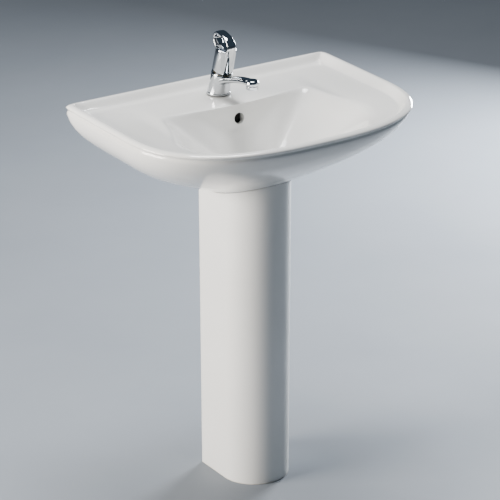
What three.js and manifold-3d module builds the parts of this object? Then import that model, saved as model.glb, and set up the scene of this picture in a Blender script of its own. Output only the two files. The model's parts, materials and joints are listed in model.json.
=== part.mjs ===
// Pedestal sink: a glazed china basin on a china column, with a single-lever mixer tap, a push
// waste, a tubular trap, two angle valves and the wall fixings. Millimetres, +Z up, +X to the
// right of a person who faces the basin, wall behind it at +Y. The origin is on the floor, at the
// middle of the box round the whole object.

import * as THREE from "three";
import { mergeVertices } from "three/addons/utils/BufferGeometryUtils.js";
import Module from "manifold-3d";

const wasm = await Module();
wasm.setup();

// ---- Driving dimensions. A depth, d, is measured out from the wall. ----
const RIM_Z = 840;
const BASIN_HALF_WIDTH = 326;
const BASIN_DEPTH = 476;
const FIXING_REACH = 45; // how far the hanger bolts go into the wall
const WALL_Y = (BASIN_DEPTH - FIXING_REACH) / 2;

const SHELL_HEIGHT = 190; // rim to the underside's lowest edge
const SHELL_FOOT_HALF_WIDTH = 78;
const SHELL_FOOT_FRONT = 249;
const STRAIGHT_SIDE = 232; // depth to which the basin's sides are parallel
const FRONT_FULLNESS = 2.65; // power of the rim's round front; 2 is an ellipse
const BACK_SQUARENESS = 40; // power of the rim's square back corners
const FOOT_FULLNESS = 2; // the same two powers at the underside's lowest edge
const FOOT_SQUARENESS = 2.2;
const FOOT_MID = 149; // depth of the underside's widest line
const CHINA = 12; // wall of the china
const RIM_CROWN = 11; // from the outer edge to the middle of the raised rim
const DECK_DROP = 15; // deck below the rim
const SHOULDER_DROP = 7; // further fall of the side shoulders towards the bowl

const BOWL_BACK_HALF = 188; // bowl edge: half width of its straight back
const BOWL_BACK = 162;
const BOWL_BACK_BOW = 24; // the tap platform's front edge bows forward by this much
const BOWL_WIDENING = 44;
const BOWL_FRONT = 446;
const BOWL_WIDEST = 252;
const BOWL_FLOOR_Z = 700;
const FLOOR_FLAT = 36; // radius of the flat round the waste
const WASTE_D = 245;
const WASTE_HOLE = 23;
const OVERFLOW_Z = 794;
const OVERFLOW_R = 12;

const COLUMN_HALF = 78;
const COLUMN_BACK = 125;
const COLUMN_FRONT = 300;
const COLUMN_TAPER = 0.032; // the foot is this much narrower than the head

const DECK_Z = RIM_Z - DECK_DROP;
const TAP_D = 84;
const TAP_HOLE = 17.5;
const TAP_LEAN = THREE.MathUtils.degToRad(16.5);
const SHOULDER_S = 55.4; // top of the tap's body, below the dome that the handle turns over
const PIVOT_S = 64; // lever pivot, along the tap's leaning axis from the deck
const CAP_FOOT_S = 62.8;
const CAP_TOP_S = 115;
const CAP_R = 22.2;
const OUTLET_D = 214;
const OUTLET_Z = 872;

const BOLT_X = 140;
const BOLT_Z = 765;
const VALVE_X = 72;
const VALVE_Z = 700;
const VALVE_OUT = 44; // from the wall to the valve's upward outlet
const TRAP_X = 36; // sideways offset of the trap's outlet arm
const TRAP_D = 203;
const ARM_Z = 572;
const ARM_R = 16;
const CLEAR = 0.3; // gap kept between neighbouring pieces

// ---- Materials ----
const finish = (color, roughness, metalness = 0) =>
  new THREE.MeshStandardMaterial({ color, roughness, metalness });
const china = finish(0xf1f0ec, 0.12);
const chrome = finish(0xc9ced2, 0.08, 1);
const brass = finish(0xb99a55, 0.35, 1);
const steel = finish(0xa8abad, 0.35, 1);
const rubber = finish(0x1d1d1e, 0.8);
const plastic = finish(0xe9e8e2, 0.45);
const ceramic = finish(0xf6f3ea, 0.3);

// ---- Solids ----
// A closed geometry as a manifold, turned outwards if it was made inside out.
function solid(geometry) {
  const bare = geometry.clone();
  for (const name of Object.keys(bare.attributes)) {
    if (name !== "position") bare.deleteAttribute(name);
  }
  const merged = mergeVertices(bare, 1e-4);
  const index = [];
  for (let i = 0; i < merged.index.count; i += 3) {
    const [a, b, c] = [0, 1, 2].map((k) => merged.index.getX(i + k));
    if (a !== b && b !== c && c !== a) index.push(a, b, c);
  }
  const build = (list) =>
    new wasm.Manifold(
      new wasm.Mesh({
        numProp: 3,
        vertProperties: merged.attributes.position.array,
        triVerts: new Uint32Array(list),
      }),
    );
  const made = build(index);
  if (made.volume() >= 0) return made;
  return build(index.reverse());
}

function geometryOf(shape) {
  const mesh = shape.getMesh();
  const vertices = new Float32Array(mesh.numVert * 3);
  for (let i = 0; i < mesh.numVert; i++) {
    const from = i * mesh.numProp;
    vertices.set(mesh.vertProperties.subarray(from, from + 3), i * 3);
  }
  const geometry = new THREE.BufferGeometry();
  geometry.setAttribute("position", new THREE.BufferAttribute(vertices, 3));
  geometry.setIndex(new THREE.BufferAttribute(mesh.triVerts, 1));
  geometry.computeVertexNormals();
  return geometry;
}

const union = (first, ...others) => others.reduce((a, b) => a.add(b), first);
const cut = (first, ...others) => others.reduce((a, b) => a.subtract(b), first);
const moved = (geometry, x = 0, y = 0, z = 0) => geometry.translate(x, y, z);

// A turned solid about Z. The profile lists [radius, height]; a ring's profile closes on itself.
function turned(profile, segments = 24) {
  const onAxis = profile[0][0] === 0 && profile.at(-1)[0] === 0;
  const closed = onAxis ? profile : [...profile, profile[0]];
  const points = closed.map(([r, h]) => new THREE.Vector2(r, h));
  return new THREE.LatheGeometry(points, segments).rotateX(Math.PI / 2);
}
const rod = (r, low, high, segments = 16) => turned([[0, low], [r, low], [r, high], [0, high]], segments);
const ring = (inner, outer, low, high, segments = 20) =>
  turned([[inner, low], [outer, low], [outer, high], [inner, high]], segments);

// A hexagonal nut about Z, across-flats size a, with a round bore.
function hexNut(a, bore, low, high) {
  const outer = turned([[0, low], [a / Math.sqrt(3), low], [a / Math.sqrt(3), high], [0, high]], 6);
  return cut(solid(outer), solid(rod(bore, low - 1, high + 1, 16)));
}

// A round tube or bar along a smooth route.
function pipe(points, radius, sides = 12, steps = 20) {
  const section = new THREE.Shape();
  section.absarc(0, 0, radius, 0, Math.PI * 2);
  return new THREE.ExtrudeGeometry(section, {
    steps,
    curveSegments: sides / 2,
    extrudePath: new THREE.CatmullRomCurve3(points, false, "centripetal"),
  });
}

// A hollow pipe: the bore runs a little past both ends, so that it stays open.
function hollowPipe(points, outer, inner, sides = 12, steps = 20) {
  const start = points[0].clone().sub(points[1]).setLength(2).add(points[0]);
  const end = points.at(-1).clone().sub(points.at(-2)).setLength(2).add(points.at(-1));
  return cut(solid(pipe(points, outer, sides, steps)),
    solid(pipe([start, ...points, end], inner, sides, steps + 2)));
}

// ---- The assembly ----
const sink = new THREE.Group();

function add(name, shape, material, parent = sink) {
  const geometry = shape.isBufferGeometry ? geometryOf(solid(shape)) : geometryOf(shape);
  const mesh = new THREE.Mesh(geometry, material);
  mesh.name = name;
  parent.add(mesh);
  return mesh;
}

// A group whose own Z axis points out from the wall, with its origin on the wall.
function onWall(x, z) {
  const group = new THREE.Group();
  group.position.set(x, WALL_Y, z);
  group.rotation.x = Math.PI / 2;
  sink.add(group);
  return group;
}

// A group that stands upright at a depth from the wall.
function upright(x, d, z = 0) {
  const group = new THREE.Group();
  group.position.set(x, WALL_Y - d, z);
  sink.add(group);
  return group;
}

// ---- Basin surface ----
const { clamp, lerp, smoothstep } = THREE.MathUtils;

// A closed plan curve: one superellipse half in front of its middle, one behind. The value is 1
// on the curve and less inside it.
function curveValue(curve, x, d) {
  const ahead = d > curve.mid;
  const n = ahead ? curve.nFront : curve.nBack;
  const half = ahead ? curve.front - curve.mid : curve.mid - curve.back;
  return (Math.abs(x / curve.w) ** n + Math.abs((d - curve.mid) / half) ** n) ** (1 / n);
}

// Distance from a centre on the basin's middle line to a curve, in the direction of an angle.
function reach(value, centre, angle) {
  let low = 0;
  let high = 800;
  for (let i = 0; i < 40; i++) {
    const r = (low + high) / 2;
    if (value(r * Math.cos(angle), centre + r * Math.sin(angle)) < 1) low = r;
    else high = r;
  }
  return low;
}

const outline = (inset = 0) => ({
  w: BASIN_HALF_WIDTH - inset,
  front: BASIN_DEPTH - inset,
  mid: STRAIGHT_SIDE,
  back: inset,
  nFront: FRONT_FULLNESS,
  nBack: BACK_SQUARENESS,
});

// The outside of the shell at a share u of its height below the rim, grown by an offset.
function shellCurve(u, offset = 0) {
  const setBack = 29 * Math.max(0, (u - 0.3) / 0.7) ** 1.6 - 6;
  return {
    w: lerp(BASIN_HALF_WIDTH, SHELL_FOOT_HALF_WIDTH, 1 - (1 - u ** 2.4) ** 1.22) + offset,
    front: lerp(BASIN_DEPTH, SHELL_FOOT_FRONT, 1 - (1 - u ** 1.9) ** 1.39) + offset,
    mid: lerp(STRAIGHT_SIDE, FOOT_MID, u),
    back: setBack - offset * (offset < 0 ? 1 + 8 / CHINA : 1),
    nFront: lerp(FRONT_FULLNESS, FOOT_FULLNESS, u),
    nBack: lerp(FOOT_SQUARENESS, BACK_SQUARENESS, (1 - u) ** 2.6),
  };
}

// The bowl's edge: straight at the tap platform, wider towards the front.
function bowlEdge(x, d) {
  const half = BOWL_BACK_HALF + BOWL_WIDENING * smoothstep(d, 150, 320);
  const back = BOWL_BACK - BOWL_BACK_BOW * (x / BOWL_BACK_HALF) ** 2;
  const ahead = d > BOWL_WIDEST;
  const n = ahead ? 2.3 : 9;
  const across = Math.abs(x) / half;
  const span = ahead ? BOWL_FRONT - BOWL_WIDEST : BOWL_WIDEST - back;
  const along = Math.abs(d - BOWL_WIDEST) / span;
  return (across ** n + along ** n) ** (1 / n);
}

// How far a point of the deck lies inside the basin's outer edge.
function insetAt(x, d) {
  const value = curveValue(outline(), x, d);
  const slopeX = curveValue(outline(), x + 1, d) - value;
  const slopeD = curveValue(outline(), x, d + 1) - value;
  return (1 - value) / Math.hypot(slopeX, slopeD);
}

function deckHeight(x, d, toEdge) {
  const beside = Math.max(smoothstep(Math.abs(x), 178, 222), smoothstep(d, 165, 260));
  const rimFall = DECK_DROP * smoothstep(insetAt(x, d), RIM_CROWN, RIM_CROWN + 26);
  return RIM_Z - rimFall - beside * SHOULDER_DROP * clamp(toEdge, 0, 1) ** 2;
}

// The bowl: straight up behind, an even slope in its back corners, a round sweep elsewhere.
function bowlHeight(r, edge, angle, edgeZ) {
  const t = (r - FLOOR_FLAT) / (edge - FLOOR_FLAT);
  if (t <= 0) return BOWL_FLOOR_Z;
  const behind = -Math.sin(angle);
  const power = 1.4 - 0.32 * smoothstep(behind, 0, 0.5);
  const upright = 0.3 * smoothstep(behind, 0.5, 0.95);
  return BOWL_FLOOR_Z + (edgeZ + 3 - BOWL_FLOOR_Z) * ((1 - upright) * t ** power + upright * t ** 14);
}

function softMin(a, b, blend) {
  const h = clamp(0.5 + (0.5 * (b - a)) / blend, 0, 1);
  return lerp(b, a, h) - blend * h * (1 - h);
}

// One direction out from the waste: a function that gives the surface's height at a radius.
function direction(angle) {
  const rim = reach((x, d) => curveValue(outline(RIM_CROWN), x, d), WASTE_D, angle);
  const edge = reach(bowlEdge, WASTE_D, angle);
  const at = (r) => [r * Math.cos(angle), WASTE_D + r * Math.sin(angle)];
  const edgeZ = deckHeight(...at(edge), 1);
  const height = (r) => {
    const toEdge = (rim - r) / (rim - edge);
    return softMin(deckHeight(...at(r), toEdge), bowlHeight(r, edge, angle, edgeZ), 9);
  };
  return { rim, edge, height };
}

// Directions round the waste: even steps, with extra ones at the outer and the bowl's corners.
function directions(steps) {
  const list = [];
  for (let i = 0; i < steps; i++) list.push((i / steps) * Math.PI * 2);
  const outerCorner = Math.atan2(-WASTE_D, BASIN_HALF_WIDTH);
  const bowlCorner = Math.atan2(BOWL_BACK - BOWL_BACK_BOW - WASTE_D, BOWL_BACK_HALF);
  for (const corner of [outerCorner, bowlCorner]) {
    for (const turn of [-0.05, 0, 0.05]) {
      list.push(corner + turn + Math.PI * 2, Math.PI - corner - turn);
    }
  }
  return list.sort((a, b) => a - b);
}

// A closed skin over rings of points, with a pole at each end.
function skin(first, rings, last) {
  const vertices = [first, ...rings.flat(), last].flat();
  const count = rings[0].length;
  const index = [];
  for (let j = 0; j < count; j++) {
    const k = (j + 1) % count;
    index.push(0, 1 + k, 1 + j);
    for (let i = 0; i < rings.length - 1; i++) {
      const a = 1 + i * count;
      const b = a + count;
      index.push(a + j, a + k, b + j, a + k, b + k, b + j);
    }
    const tail = 1 + (rings.length - 1) * count;
    index.push(tail + j, tail + k, tail + count);
  }
  const geometry = new THREE.BufferGeometry();
  geometry.setAttribute("position", new THREE.BufferAttribute(new Float32Array(vertices), 3));
  geometry.setIndex(index);
  return geometry;
}

const point = (angle, r, centre, z) => [r * Math.cos(angle), WALL_Y - centre - r * Math.sin(angle), z];
const ANGLES = directions(28);
const shellCentre = (u) => lerp(WASTE_D, 136, u);

function shellRing(u, offset, z = RIM_Z - u * SHELL_HEIGHT) {
  const curve = shellCurve(u, offset);
  return ANGLES.map((angle) => {
    const r = reach((x, d) => curveValue(curve, x, d), shellCentre(u), angle);
    return point(angle, r, shellCentre(u), z);
  });
}

// The solid inside the basin's outer skin. With grow above 0 it is the room the basin needs.
function outerSolid(grow = 0) {
  const bowlShares = [0, 0.2, 0.45, 0.7, 0.88, 0.98];
  const deckShares = [0.94, 0.7, 0.4, 0.16];
  const facing = ANGLES.map(direction);
  const rings = [];
  if (grow === 0) {
    for (const share of bowlShares) {
      rings.push(ANGLES.map((angle, i) => {
        const r = lerp(FLOOR_FLAT, facing[i].edge, share);
        return point(angle, r, WASTE_D, facing[i].height(r));
      }));
    }
    for (const share of deckShares) {
      rings.push(ANGLES.map((angle, i) => {
        const r = lerp(facing[i].rim, facing[i].edge, share);
        return point(angle, r, WASTE_D, facing[i].height(r));
      }));
    }
  }
  const edgeRound = [[RIM_CROWN, 0], [6, 0.6], [2.4, 3], [0, 8]];
  for (const [inset, fall] of edgeRound) {
    rings.push(ANGLES.map((angle) => {
      const r = reach((x, d) => curveValue(outline(inset - grow), x, d), WASTE_D, angle);
      return point(angle, r, WASTE_D, RIM_Z - fall);
    }));
  }
  for (const u of [0.1, 0.28, 0.46, 0.64, 0.82, 1]) rings.push(shellRing(u, grow));
  const floor = RIM_Z - SHELL_HEIGHT - grow;
  if (grow > 0) rings.push(shellRing(1, grow, floor));
  const top = [0, WALL_Y - WASTE_D, grow === 0 ? BOWL_FLOOR_Z : RIM_Z];
  const skinned = solid(skin(top, rings, [0, WALL_Y - shellCentre(1), floor]));
  return cut(skinned, solid(moved(new THREE.BoxGeometry(900, 100, 900), 0, WALL_Y + 50, RIM_Z)));
}

// The hollow between the shell and the bowl, open below.
function hollowSolid() {
  const shares = [0.15, 0.45, 0.75, 0.98];
  const facing = ANGLES.map(direction);
  const inner = ANGLES.map((angle) =>
    reach((x, d) => curveValue(outline(CHINA + 3), x, d), WASTE_D, angle));
  const under = (i, r, out) => {
    const wide = Math.min(r + out, inner[i]);
    return point(ANGLES[i], wide, WASTE_D, facing[i].height(r) - CHINA);
  };
  const rings = shares.map((share) =>
    ANGLES.map((_, i) => under(i, lerp(FLOOR_FLAT, facing[i].edge, share), CHINA - 1)));
  rings.push(ANGLES.map((_, i) => under(i, lerp(facing[i].rim, facing[i].edge, 0.8), 2)));
  rings.push(ANGLES.map((_, i) => under(i, inner[i], 0)));
  for (const u of [0.18, 0.4, 0.64, 0.84, 1]) rings.push(shellRing(u, 2 - CHINA));
  rings.push(shellRing(1, 2 - CHINA, RIM_Z - SHELL_HEIGHT - 20));
  const top = [0, WALL_Y - WASTE_D, BOWL_FLOOR_Z - CHINA];
  return solid(skin(top, rings, [0, WALL_Y - shellCentre(1), RIM_Z - SHELL_HEIGHT - 20]));
}

// A prism across X from an outline of [depth, height] points.
function crossPrism(outlinePoints, halfWidth) {
  const shape = new THREE.Shape(outlinePoints.map(([d, z]) => new THREE.Vector2(WALL_Y - d, z)));
  const prism = new THREE.ExtrudeGeometry(shape, { depth: 2 * halfWidth, bevelEnabled: false });
  return prism.translate(0, 0, -halfWidth).applyMatrix4(
    new THREE.Matrix4().makeBasis(
      new THREE.Vector3(0, 1, 0), new THREE.Vector3(0, 0, 1), new THREE.Vector3(1, 0, 0)),
  );
}

const throughWall = (r, x, z, from, to, segments = 16) =>
  new THREE.CylinderGeometry(r, r, to - from, segments).translate(x, WALL_Y - (from + to) / 2, z);

function basin() {
  const boss = moved(rod(WASTE_HOLE + 15, 670, BOWL_FLOOR_Z - 2, 18), 0, WALL_Y - WASTE_D);
  const ductOutside = [[146, 822], [170, 815], [170, 790], [184, 765], [204, 730], [218, 697],
    [224, 671], [196, 671], [178, 690], [164, 724], [146, 756], [138, 785], [138, 822]];
  const ductInside = [[154, 808], [154, 790], [170, 758], [190, 718], [200, 692], [226, 690],
    [226, 679], [198, 679], [184, 696], [176, 716], [156, 750], [145, 782], [145, 808]];
  const shell = union(cut(outerSolid(), hollowSolid()), solid(boss),
    solid(crossPrism(ductOutside, 24)).intersect(outerSolid()));
  const boltHoles = [-BOLT_X, BOLT_X].flatMap((x) => [
    solid(throughWall(8, x, BOLT_Z, -5, 30, 12)),
    solid(throughWall(20, x, BOLT_Z, CHINA, 40, 14)),
  ]);
  return cut(
    shell,
    solid(crossPrism(ductInside, 15)),
    solid(throughWall(OVERFLOW_R, 0, OVERFLOW_Z, 150, 185, 14)),
    solid(moved(rod(WASTE_HOLE, 640, BOWL_FLOOR_Z + 20, 20), 0, WALL_Y - WASTE_D)),
    solid(moved(rod(TAP_HOLE, 790, 860, 18), 0, WALL_Y - TAP_D)),
    solid(moved(new THREE.BoxGeometry(2 * 112, 90, 190), 0, WALL_Y, 690)),
    solid(moved(rod(WASTE_HOLE + 16, 630, 669.9, 20), 0, WALL_Y - WASTE_D)),
    ...boltHoles,
  );
}

// ---- Column ----
function column() {
  const wall = CHINA;
  const middle = COLUMN_FRONT - COLUMN_HALF;
  const plan = new THREE.Shape();
  plan.moveTo(COLUMN_HALF - wall, -COLUMN_BACK);
  plan.lineTo(COLUMN_HALF - 3, -COLUMN_BACK);
  plan.lineTo(COLUMN_HALF, -COLUMN_BACK - 3);
  plan.lineTo(COLUMN_HALF, -middle);
  plan.absarc(0, -middle, COLUMN_HALF, 0, Math.PI, true);
  plan.lineTo(-COLUMN_HALF, -COLUMN_BACK - 3);
  plan.lineTo(3 - COLUMN_HALF, -COLUMN_BACK);
  plan.lineTo(wall - COLUMN_HALF, -COLUMN_BACK);
  plan.lineTo(wall - COLUMN_HALF, -middle);
  plan.absarc(0, -middle, COLUMN_HALF - wall, Math.PI, 0, false);
  const height = 720;
  const shaft = new THREE.ExtrudeGeometry(plan, {
    depth: height,
    steps: 2,
    curveSegments: 12,
    bevelEnabled: false,
  });
  const axis = (COLUMN_BACK + COLUMN_FRONT) / 2;
  const place = shaft.attributes.position;
  for (let i = 0; i < place.count; i++) {
    const scale = 1 - COLUMN_TAPER * (1 - place.getZ(i) / height);
    place.setX(i, place.getX(i) * scale);
    place.setY(i, WALL_Y - axis + (place.getY(i) + axis) * scale);
  }
  return cut(solid(shaft), outerSolid(CLEAR + 0.4));
}

add("basin", basin(), china);
add("pedestal", column(), china);

// ---- Tap, built about its leaning axis: local Z runs up the axis, local -Y points forward ----
const tap = upright(0, TAP_D, DECK_Z);
const leaning = new THREE.Group();
leaning.rotation.x = TAP_LEAN;
tap.add(leaning);
const inTap = (shape) => {
  const geometry = shape.isBufferGeometry ? shape : geometryOf(shape);
  return solid(geometry.applyMatrix4(new THREE.Matrix4().makeRotationX(TAP_LEAN)));
};
const GASKET = 2;

function tapBody() {
  const ahead = OUTLET_D - TAP_D;
  const mouth = OUTLET_Z - DECK_Z + 8;
  const foot = rod(25.5, GASKET + CLEAR, 7, 24);
  const shaft = inTap(turned([[0, -6], [24.4, -6], [24.2, 4], [22.6, 22],
    [22.2, SHOULDER_S - 0.8], [21.2, SHOULDER_S], [0, SHOULDER_S]], 24));
  const spoutLine = [[12, 30], [31, 38.5], [52, 45.5], [84, 54], [118, 59.5], [ahead + 11, 60.5]];
  const section = new THREE.Shape();
  section.absellipse(0, 0, 14, 6.8, 0, Math.PI * 2);
  const spout = new THREE.ExtrudeGeometry(section, {
    steps: 8,
    curveSegments: 5,
    extrudePath: new THREE.CatmullRomCurve3(spoutLine.map(([d, z]) => new THREE.Vector3(0, -d, z))),
  });
  const headProfile = [[0, mouth], [13.4, mouth], [14, mouth + 8], [11, mouth + 13], [0, mouth + 13.4]];
  const head = moved(turned(headProfile, 18), 0, -ahead);
  const waterLine = [[4, 30], [30, 38.5], [84, 54], [ahead, 59.5]];
  const waterway = pipe(waterLine.map(([d, z]) => new THREE.Vector3(0, -d, z)), 3.4, 6, 6);
  return cut(
    union(solid(foot), shaft, solid(spout), solid(head)),
    solid(moved(new THREE.BoxGeometry(120, 120, 40), 0, 0, GASKET + CLEAR - 20)),
    inTap(rod(25.5, SHOULDER_S, 90, 24)),
    inTap(rod(18.5, 38, 60, 24)),
    inTap(moved(rod(4, 22, 40, 8), 0, -9)),
    ...[-9, 9].map((x) => solid(moved(rod(5.4, -1, 26, 10), x, 6))),
    ...[-9, 9].map((x) => inTap(moved(rod(3.4, 22, 40, 8), x, 4))),
    solid(moved(rod(4.2, -1, 16, 10), 0, -8)),
    solid(waterway),
    solid(moved(rod(13.3, 20, mouth, 20), 0, -ahead)),
    solid(moved(rod(10.6, mouth - 10, mouth + 9, 20), 0, -ahead)),
  );
}

add("tap_body", tapBody(), chrome, tap);
add("tap_base_gasket", ring(19, 23.5, CLEAR, GASKET), rubber, tap);

// Cartridge, from its seat upwards.
const ports = (r, low, high) =>
  [[-9, 4], [9, 4], [0, -9]].map(([x, y]) => solid(moved(rod(r, low, high, 8), x, y)));
const acrossTap = (r, half, segments) =>
  rod(r, -half, half, segments).rotateY(Math.PI / 2).translate(0, 0, PIVOT_S);
const mixingRoom = solid(moved(new THREE.BoxGeometry(14, 9, 2), 0, -1.5, 46.6));
const stemSlot = solid(moved(new THREE.BoxGeometry(8, 20, 20), 0, 0, 62));
const stemBall = solid(turned([[0, 51.5], [2.6, 52], [3.3, 53.4], [2.6, 54.8], [2.6, 57], [0, 57]], 10));
const stemBar = solid(moved(new THREE.BoxGeometry(6.6, 6.6, 34), 0, 0, 73.4));
const pinHole = solid(acrossTap(1.9, 20, 8));
add("cartridge_base", cut(solid(rod(18.1, 38.3, 42.2, 24)), ...ports(3, 37, 44)), plastic, leaning);
add("ceramic_disc_fixed", cut(solid(rod(14.6, 42.5, 46.3, 24)), ...ports(2.8, 41, 48)), ceramic, leaning);
add("ceramic_disc_moving", cut(solid(rod(11, 46.6, 50, 20)), mixingRoom), ceramic, leaning);
add("disc_carrier", cut(solid(rod(11, 50.3, 54.8, 20)), solid(rod(3.9, 51.2, 56, 12))), plastic, leaning);
add("cartridge_turntable", cut(solid(rod(14.5, 55.1, 70, 20)), stemSlot, pinHole), plastic, leaning);
add("lever_pivot_pin", acrossTap(1.6, 13.5, 10), steel, leaning);
add("lever_stem", cut(union(stemBall, stemBar), pinHole), steel, leaning);
add("cartridge_housing", turned([[18.1, 42.5], [18.1, 49], [15.9, 49], [15.9, 71.6], [12.4, 71.6],
  [12.4, 70.3], [15, 70.3], [15, 42.5]], 20), plastic, leaning);
add("cartridge_nut", ring(16.5, 18.2, 49.3, 55.2), brass, leaning);

// The dome that the handle's skirt turns over: a ball about the lever pivot, open at the top.
function coverDome() {
  const arc = (r, from, to, steps) =>
    Array.from({ length: steps + 1 }, (_, i) => {
      const height = lerp(from, to, i / steps);
      return [Math.sqrt(r * r - height * height), PIVOT_S + height];
    });
  return turned([...arc(19.3, -8.2, 13, 4), ...arc(18.1, 12.6, -7, 3)], 20);
}
add("cover_dome", coverDome(), chrome, leaning);

// A rod through the cap's back, where the grub screw is reached.
const SCREW_S = 88;
const behindTap = (r, from, to, segments) =>
  rod(r, from, to, segments).rotateX(-Math.PI / 2).translate(0, 0, SCREW_S);

// Handle: a tall cap on the stem, with a flat bow over it that leaves room for a finger.
function handle() {
  const cap = turned([[0, 100], [19.9, 96], [20, CAP_FOOT_S], [CAP_R, CAP_FOOT_S], [CAP_R, 80],
    [21.4, CAP_TOP_S - 2], [19.6, CAP_TOP_S], [0, CAP_TOP_S + 0.6]], 22);
  const bossSocket = moved(new THREE.BoxGeometry(7.2, 7.2, 12), 0, 0, 86);
  const boss = rod(6.4, 82, 101, 14);
  const bowLine = [[-18, 106], [-17.5, 122], [-12, 132.5], [-1, 137.6], [14, 138.4], [30, 136.4],
    [36.6, 131], [36.4, 118], [29, 107.5], [15, 104]];
  const section = new THREE.Shape();
  section.absellipse(0, 0, 10.5, 3.3, 0, Math.PI * 2);
  const bowPoints = bowLine.map(([y, z]) => new THREE.Vector3(0, y, z));
  const bow = new THREE.ExtrudeGeometry(section, {
    steps: 18,
    curveSegments: 4,
    extrudePath: new THREE.CatmullRomCurve3(bowPoints, false, "centripetal"),
  });
  const screwHole = behindTap(3.7, 2, 26, 10);
  return cut(union(solid(cap), solid(boss), solid(bow)), solid(bossSocket), solid(screwHole));
}
add("handle", handle(), chrome, leaning);
add("handle_grub_screw", behindTap(2.6, 4.2, 12, 8), steel, leaning);
add("index_button", behindTap(3.3, 19.4, 22.6, 12), plastic, leaning);

// Aerator in the spout's head.
const outlet = upright(0, OUTLET_D, OUTLET_Z);
add("aerator_housing", turned([[10.2, 0], [12.4, 0.8], [12.6, 7.6], [10.2, 7.6],
  [10.2, 13], [8.8, 13], [8.6, 1.6]], 18), chrome, outlet);
add("aerator_insert", turned([[0, 3], [8.3, 3], [8.3, 12], [5, 13.2], [0, 13.2]], 16), plastic, outlet);
add("aerator_washer", ring(6.5, 10, 13.9, 15.6, 16), rubber, outlet);

// Fixing under the deck: one stud, a horseshoe gasket and plate, a nut.
const UNDER_DECK = -CHINA - 1;
const horseshoe = (low, high) => cut(
  solid(rod(24, low, high, 18)),
  solid(moved(new THREE.BoxGeometry(31, 40, 20), 0, 19.5, low)),
  solid(moved(rod(4.4, low - 1, high + 1, 10), 0, -8)),
);
const studGroup = new THREE.Group();
studGroup.position.y = -8;
tap.add(studGroup);
add("fixing_stud", rod(3.8, -62, 14, 12), brass, studGroup);
add("horseshoe_gasket", horseshoe(UNDER_DECK - 3, UNDER_DECK), rubber, tap);
add("horseshoe_plate", horseshoe(UNDER_DECK - 5.5, UNDER_DECK - 3.3), steel, tap);
add("fixing_nut", hexNut(13, 4.2, UNDER_DECK - 13, UNDER_DECK - 5.8), brass, studGroup);

// Supply: a rigid tail from the tap down to an angle valve on the wall, hot left, cold right.
for (const [side, name] of [[-1, "hot"], [1, "cold"]]) {
  const route = [
    new THREE.Vector3(9 * side, 6, 22),
    new THREE.Vector3(9 * side, 6, 0),
    new THREE.Vector3(9 * side, 6, -34),
    new THREE.Vector3(14 * side, 12, -57),
    new THREE.Vector3(58 * side, 38, -83),
    new THREE.Vector3(VALVE_X * side, TAP_D - VALVE_OUT, VALVE_Z + 26 - DECK_Z),
    new THREE.Vector3(VALVE_X * side, TAP_D - VALVE_OUT, VALVE_Z + 14.5 - DECK_Z),
  ];
  add(name + "_supply_tail", hollowPipe(route, 5, 3.9, 8, 12), chrome, tap);
  const wall = onWall(VALVE_X * side, VALVE_Z);
  const towardsTap = (r, low, high, segments) =>
    solid(rod(r, low, high, segments).rotateX(-Math.PI / 2).translate(0, 0, VALVE_OUT));
  const barrel = turned([[0, -12], [10, -12], [10, 4], [9, 5], [9, 30],
    [11.5, 32], [11.5, 52], [8.5, 54], [0, 54]], 14);
  const body = union(solid(barrel), towardsTap(8.4, 0, 20, 14));
  const waterway = [
    solid(rod(4.6, -13, 46, 10)),
    towardsTap(5.4, 4, 22, 10),
    towardsTap(3, -1, 6, 10),
    solid(rod(4.4, 48, 56, 12)),
  ];
  add(name + "_valve_body", cut(body, ...waterway), chrome, wall);
  add(name + "_valve_spindle", rod(4, 49, 66, 12), brass, wall);
  const knob = turned([[0, 60], [4.3, 60], [4.3, 56.5], [11, 56.5], [12.5, 59],
    [11.5, 73], [9, 75], [0, 75.5]], 14);
  const socket = rod(4.3, 55, 66.4, 12);
  add(name + "_valve_knob", cut(solid(knob), solid(socket)), chrome, wall);
  const rosette = turned([[10.4, CLEAR], [27, CLEAR], [26, 2.5], [12, 9], [10.4, 9]], 16);
  add(name + "_valve_rosette", rosette, chrome, wall);
  const upwards = new THREE.Group();
  upwards.position.z = VALVE_OUT;
  upwards.rotation.x = -Math.PI / 2;
  wall.add(upwards);
  add(name + "_compression_nut", hexNut(20, 8.9, 12, 21), brass, upwards);
}

// ---- Waste: slotted body, push plug on a spring, seals, back nut and tail ----
const waste = upright(0, WASTE_D);
function wasteBody() {
  const shell = turned([[19, 622], [21, 622], [21, 701.3], [33, 701.3], [33, 702.6], [32, 704.2],
    [29.5, 704.6], [24, 703.2], [20.5, 702.4], [19, 701]], 22);
  const slots = [0, Math.PI / 2, Math.PI, -Math.PI / 2].map((turn) =>
    solid(moved(new THREE.BoxGeometry(12, 12, 14), 0, 19, 684).rotateZ(turn)));
  const bridge = union(
    solid(moved(new THREE.BoxGeometry(39, 4, 4), 0, 0, 662)),
    solid(rod(6.5, 656, 668, 14)),
  );
  return cut(union(cut(solid(shell), ...slots), bridge), solid(rod(4.3, 650, 670, 12)));
}
add("waste_body", wasteBody(), chrome, waste);
add("waste_top_seal", ring(22, 30, BOWL_FLOOR_Z + CLEAR, BOWL_FLOOR_Z + 1, 20), rubber, waste);
add("waste_under_seal", ring(21.5, 34, 665.5, 669.6, 18), rubber, waste);
add("waste_backnut", hexNut(62, 21.5, 656, 665.2), brass, waste);
add("waste_plug", turned([[0, 703], [23, 703.8], [27.5, 706.2], [27.8, 707.4],
  [24, 710], [12, 712], [0, 712.6]], 22), chrome, waste);
const plugStem = union(solid(rod(3.9, 646, 702.7, 12)), solid(rod(7.5, 694, 698, 14)));
add("waste_plug_stem", plugStem, plastic, waste);

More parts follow.
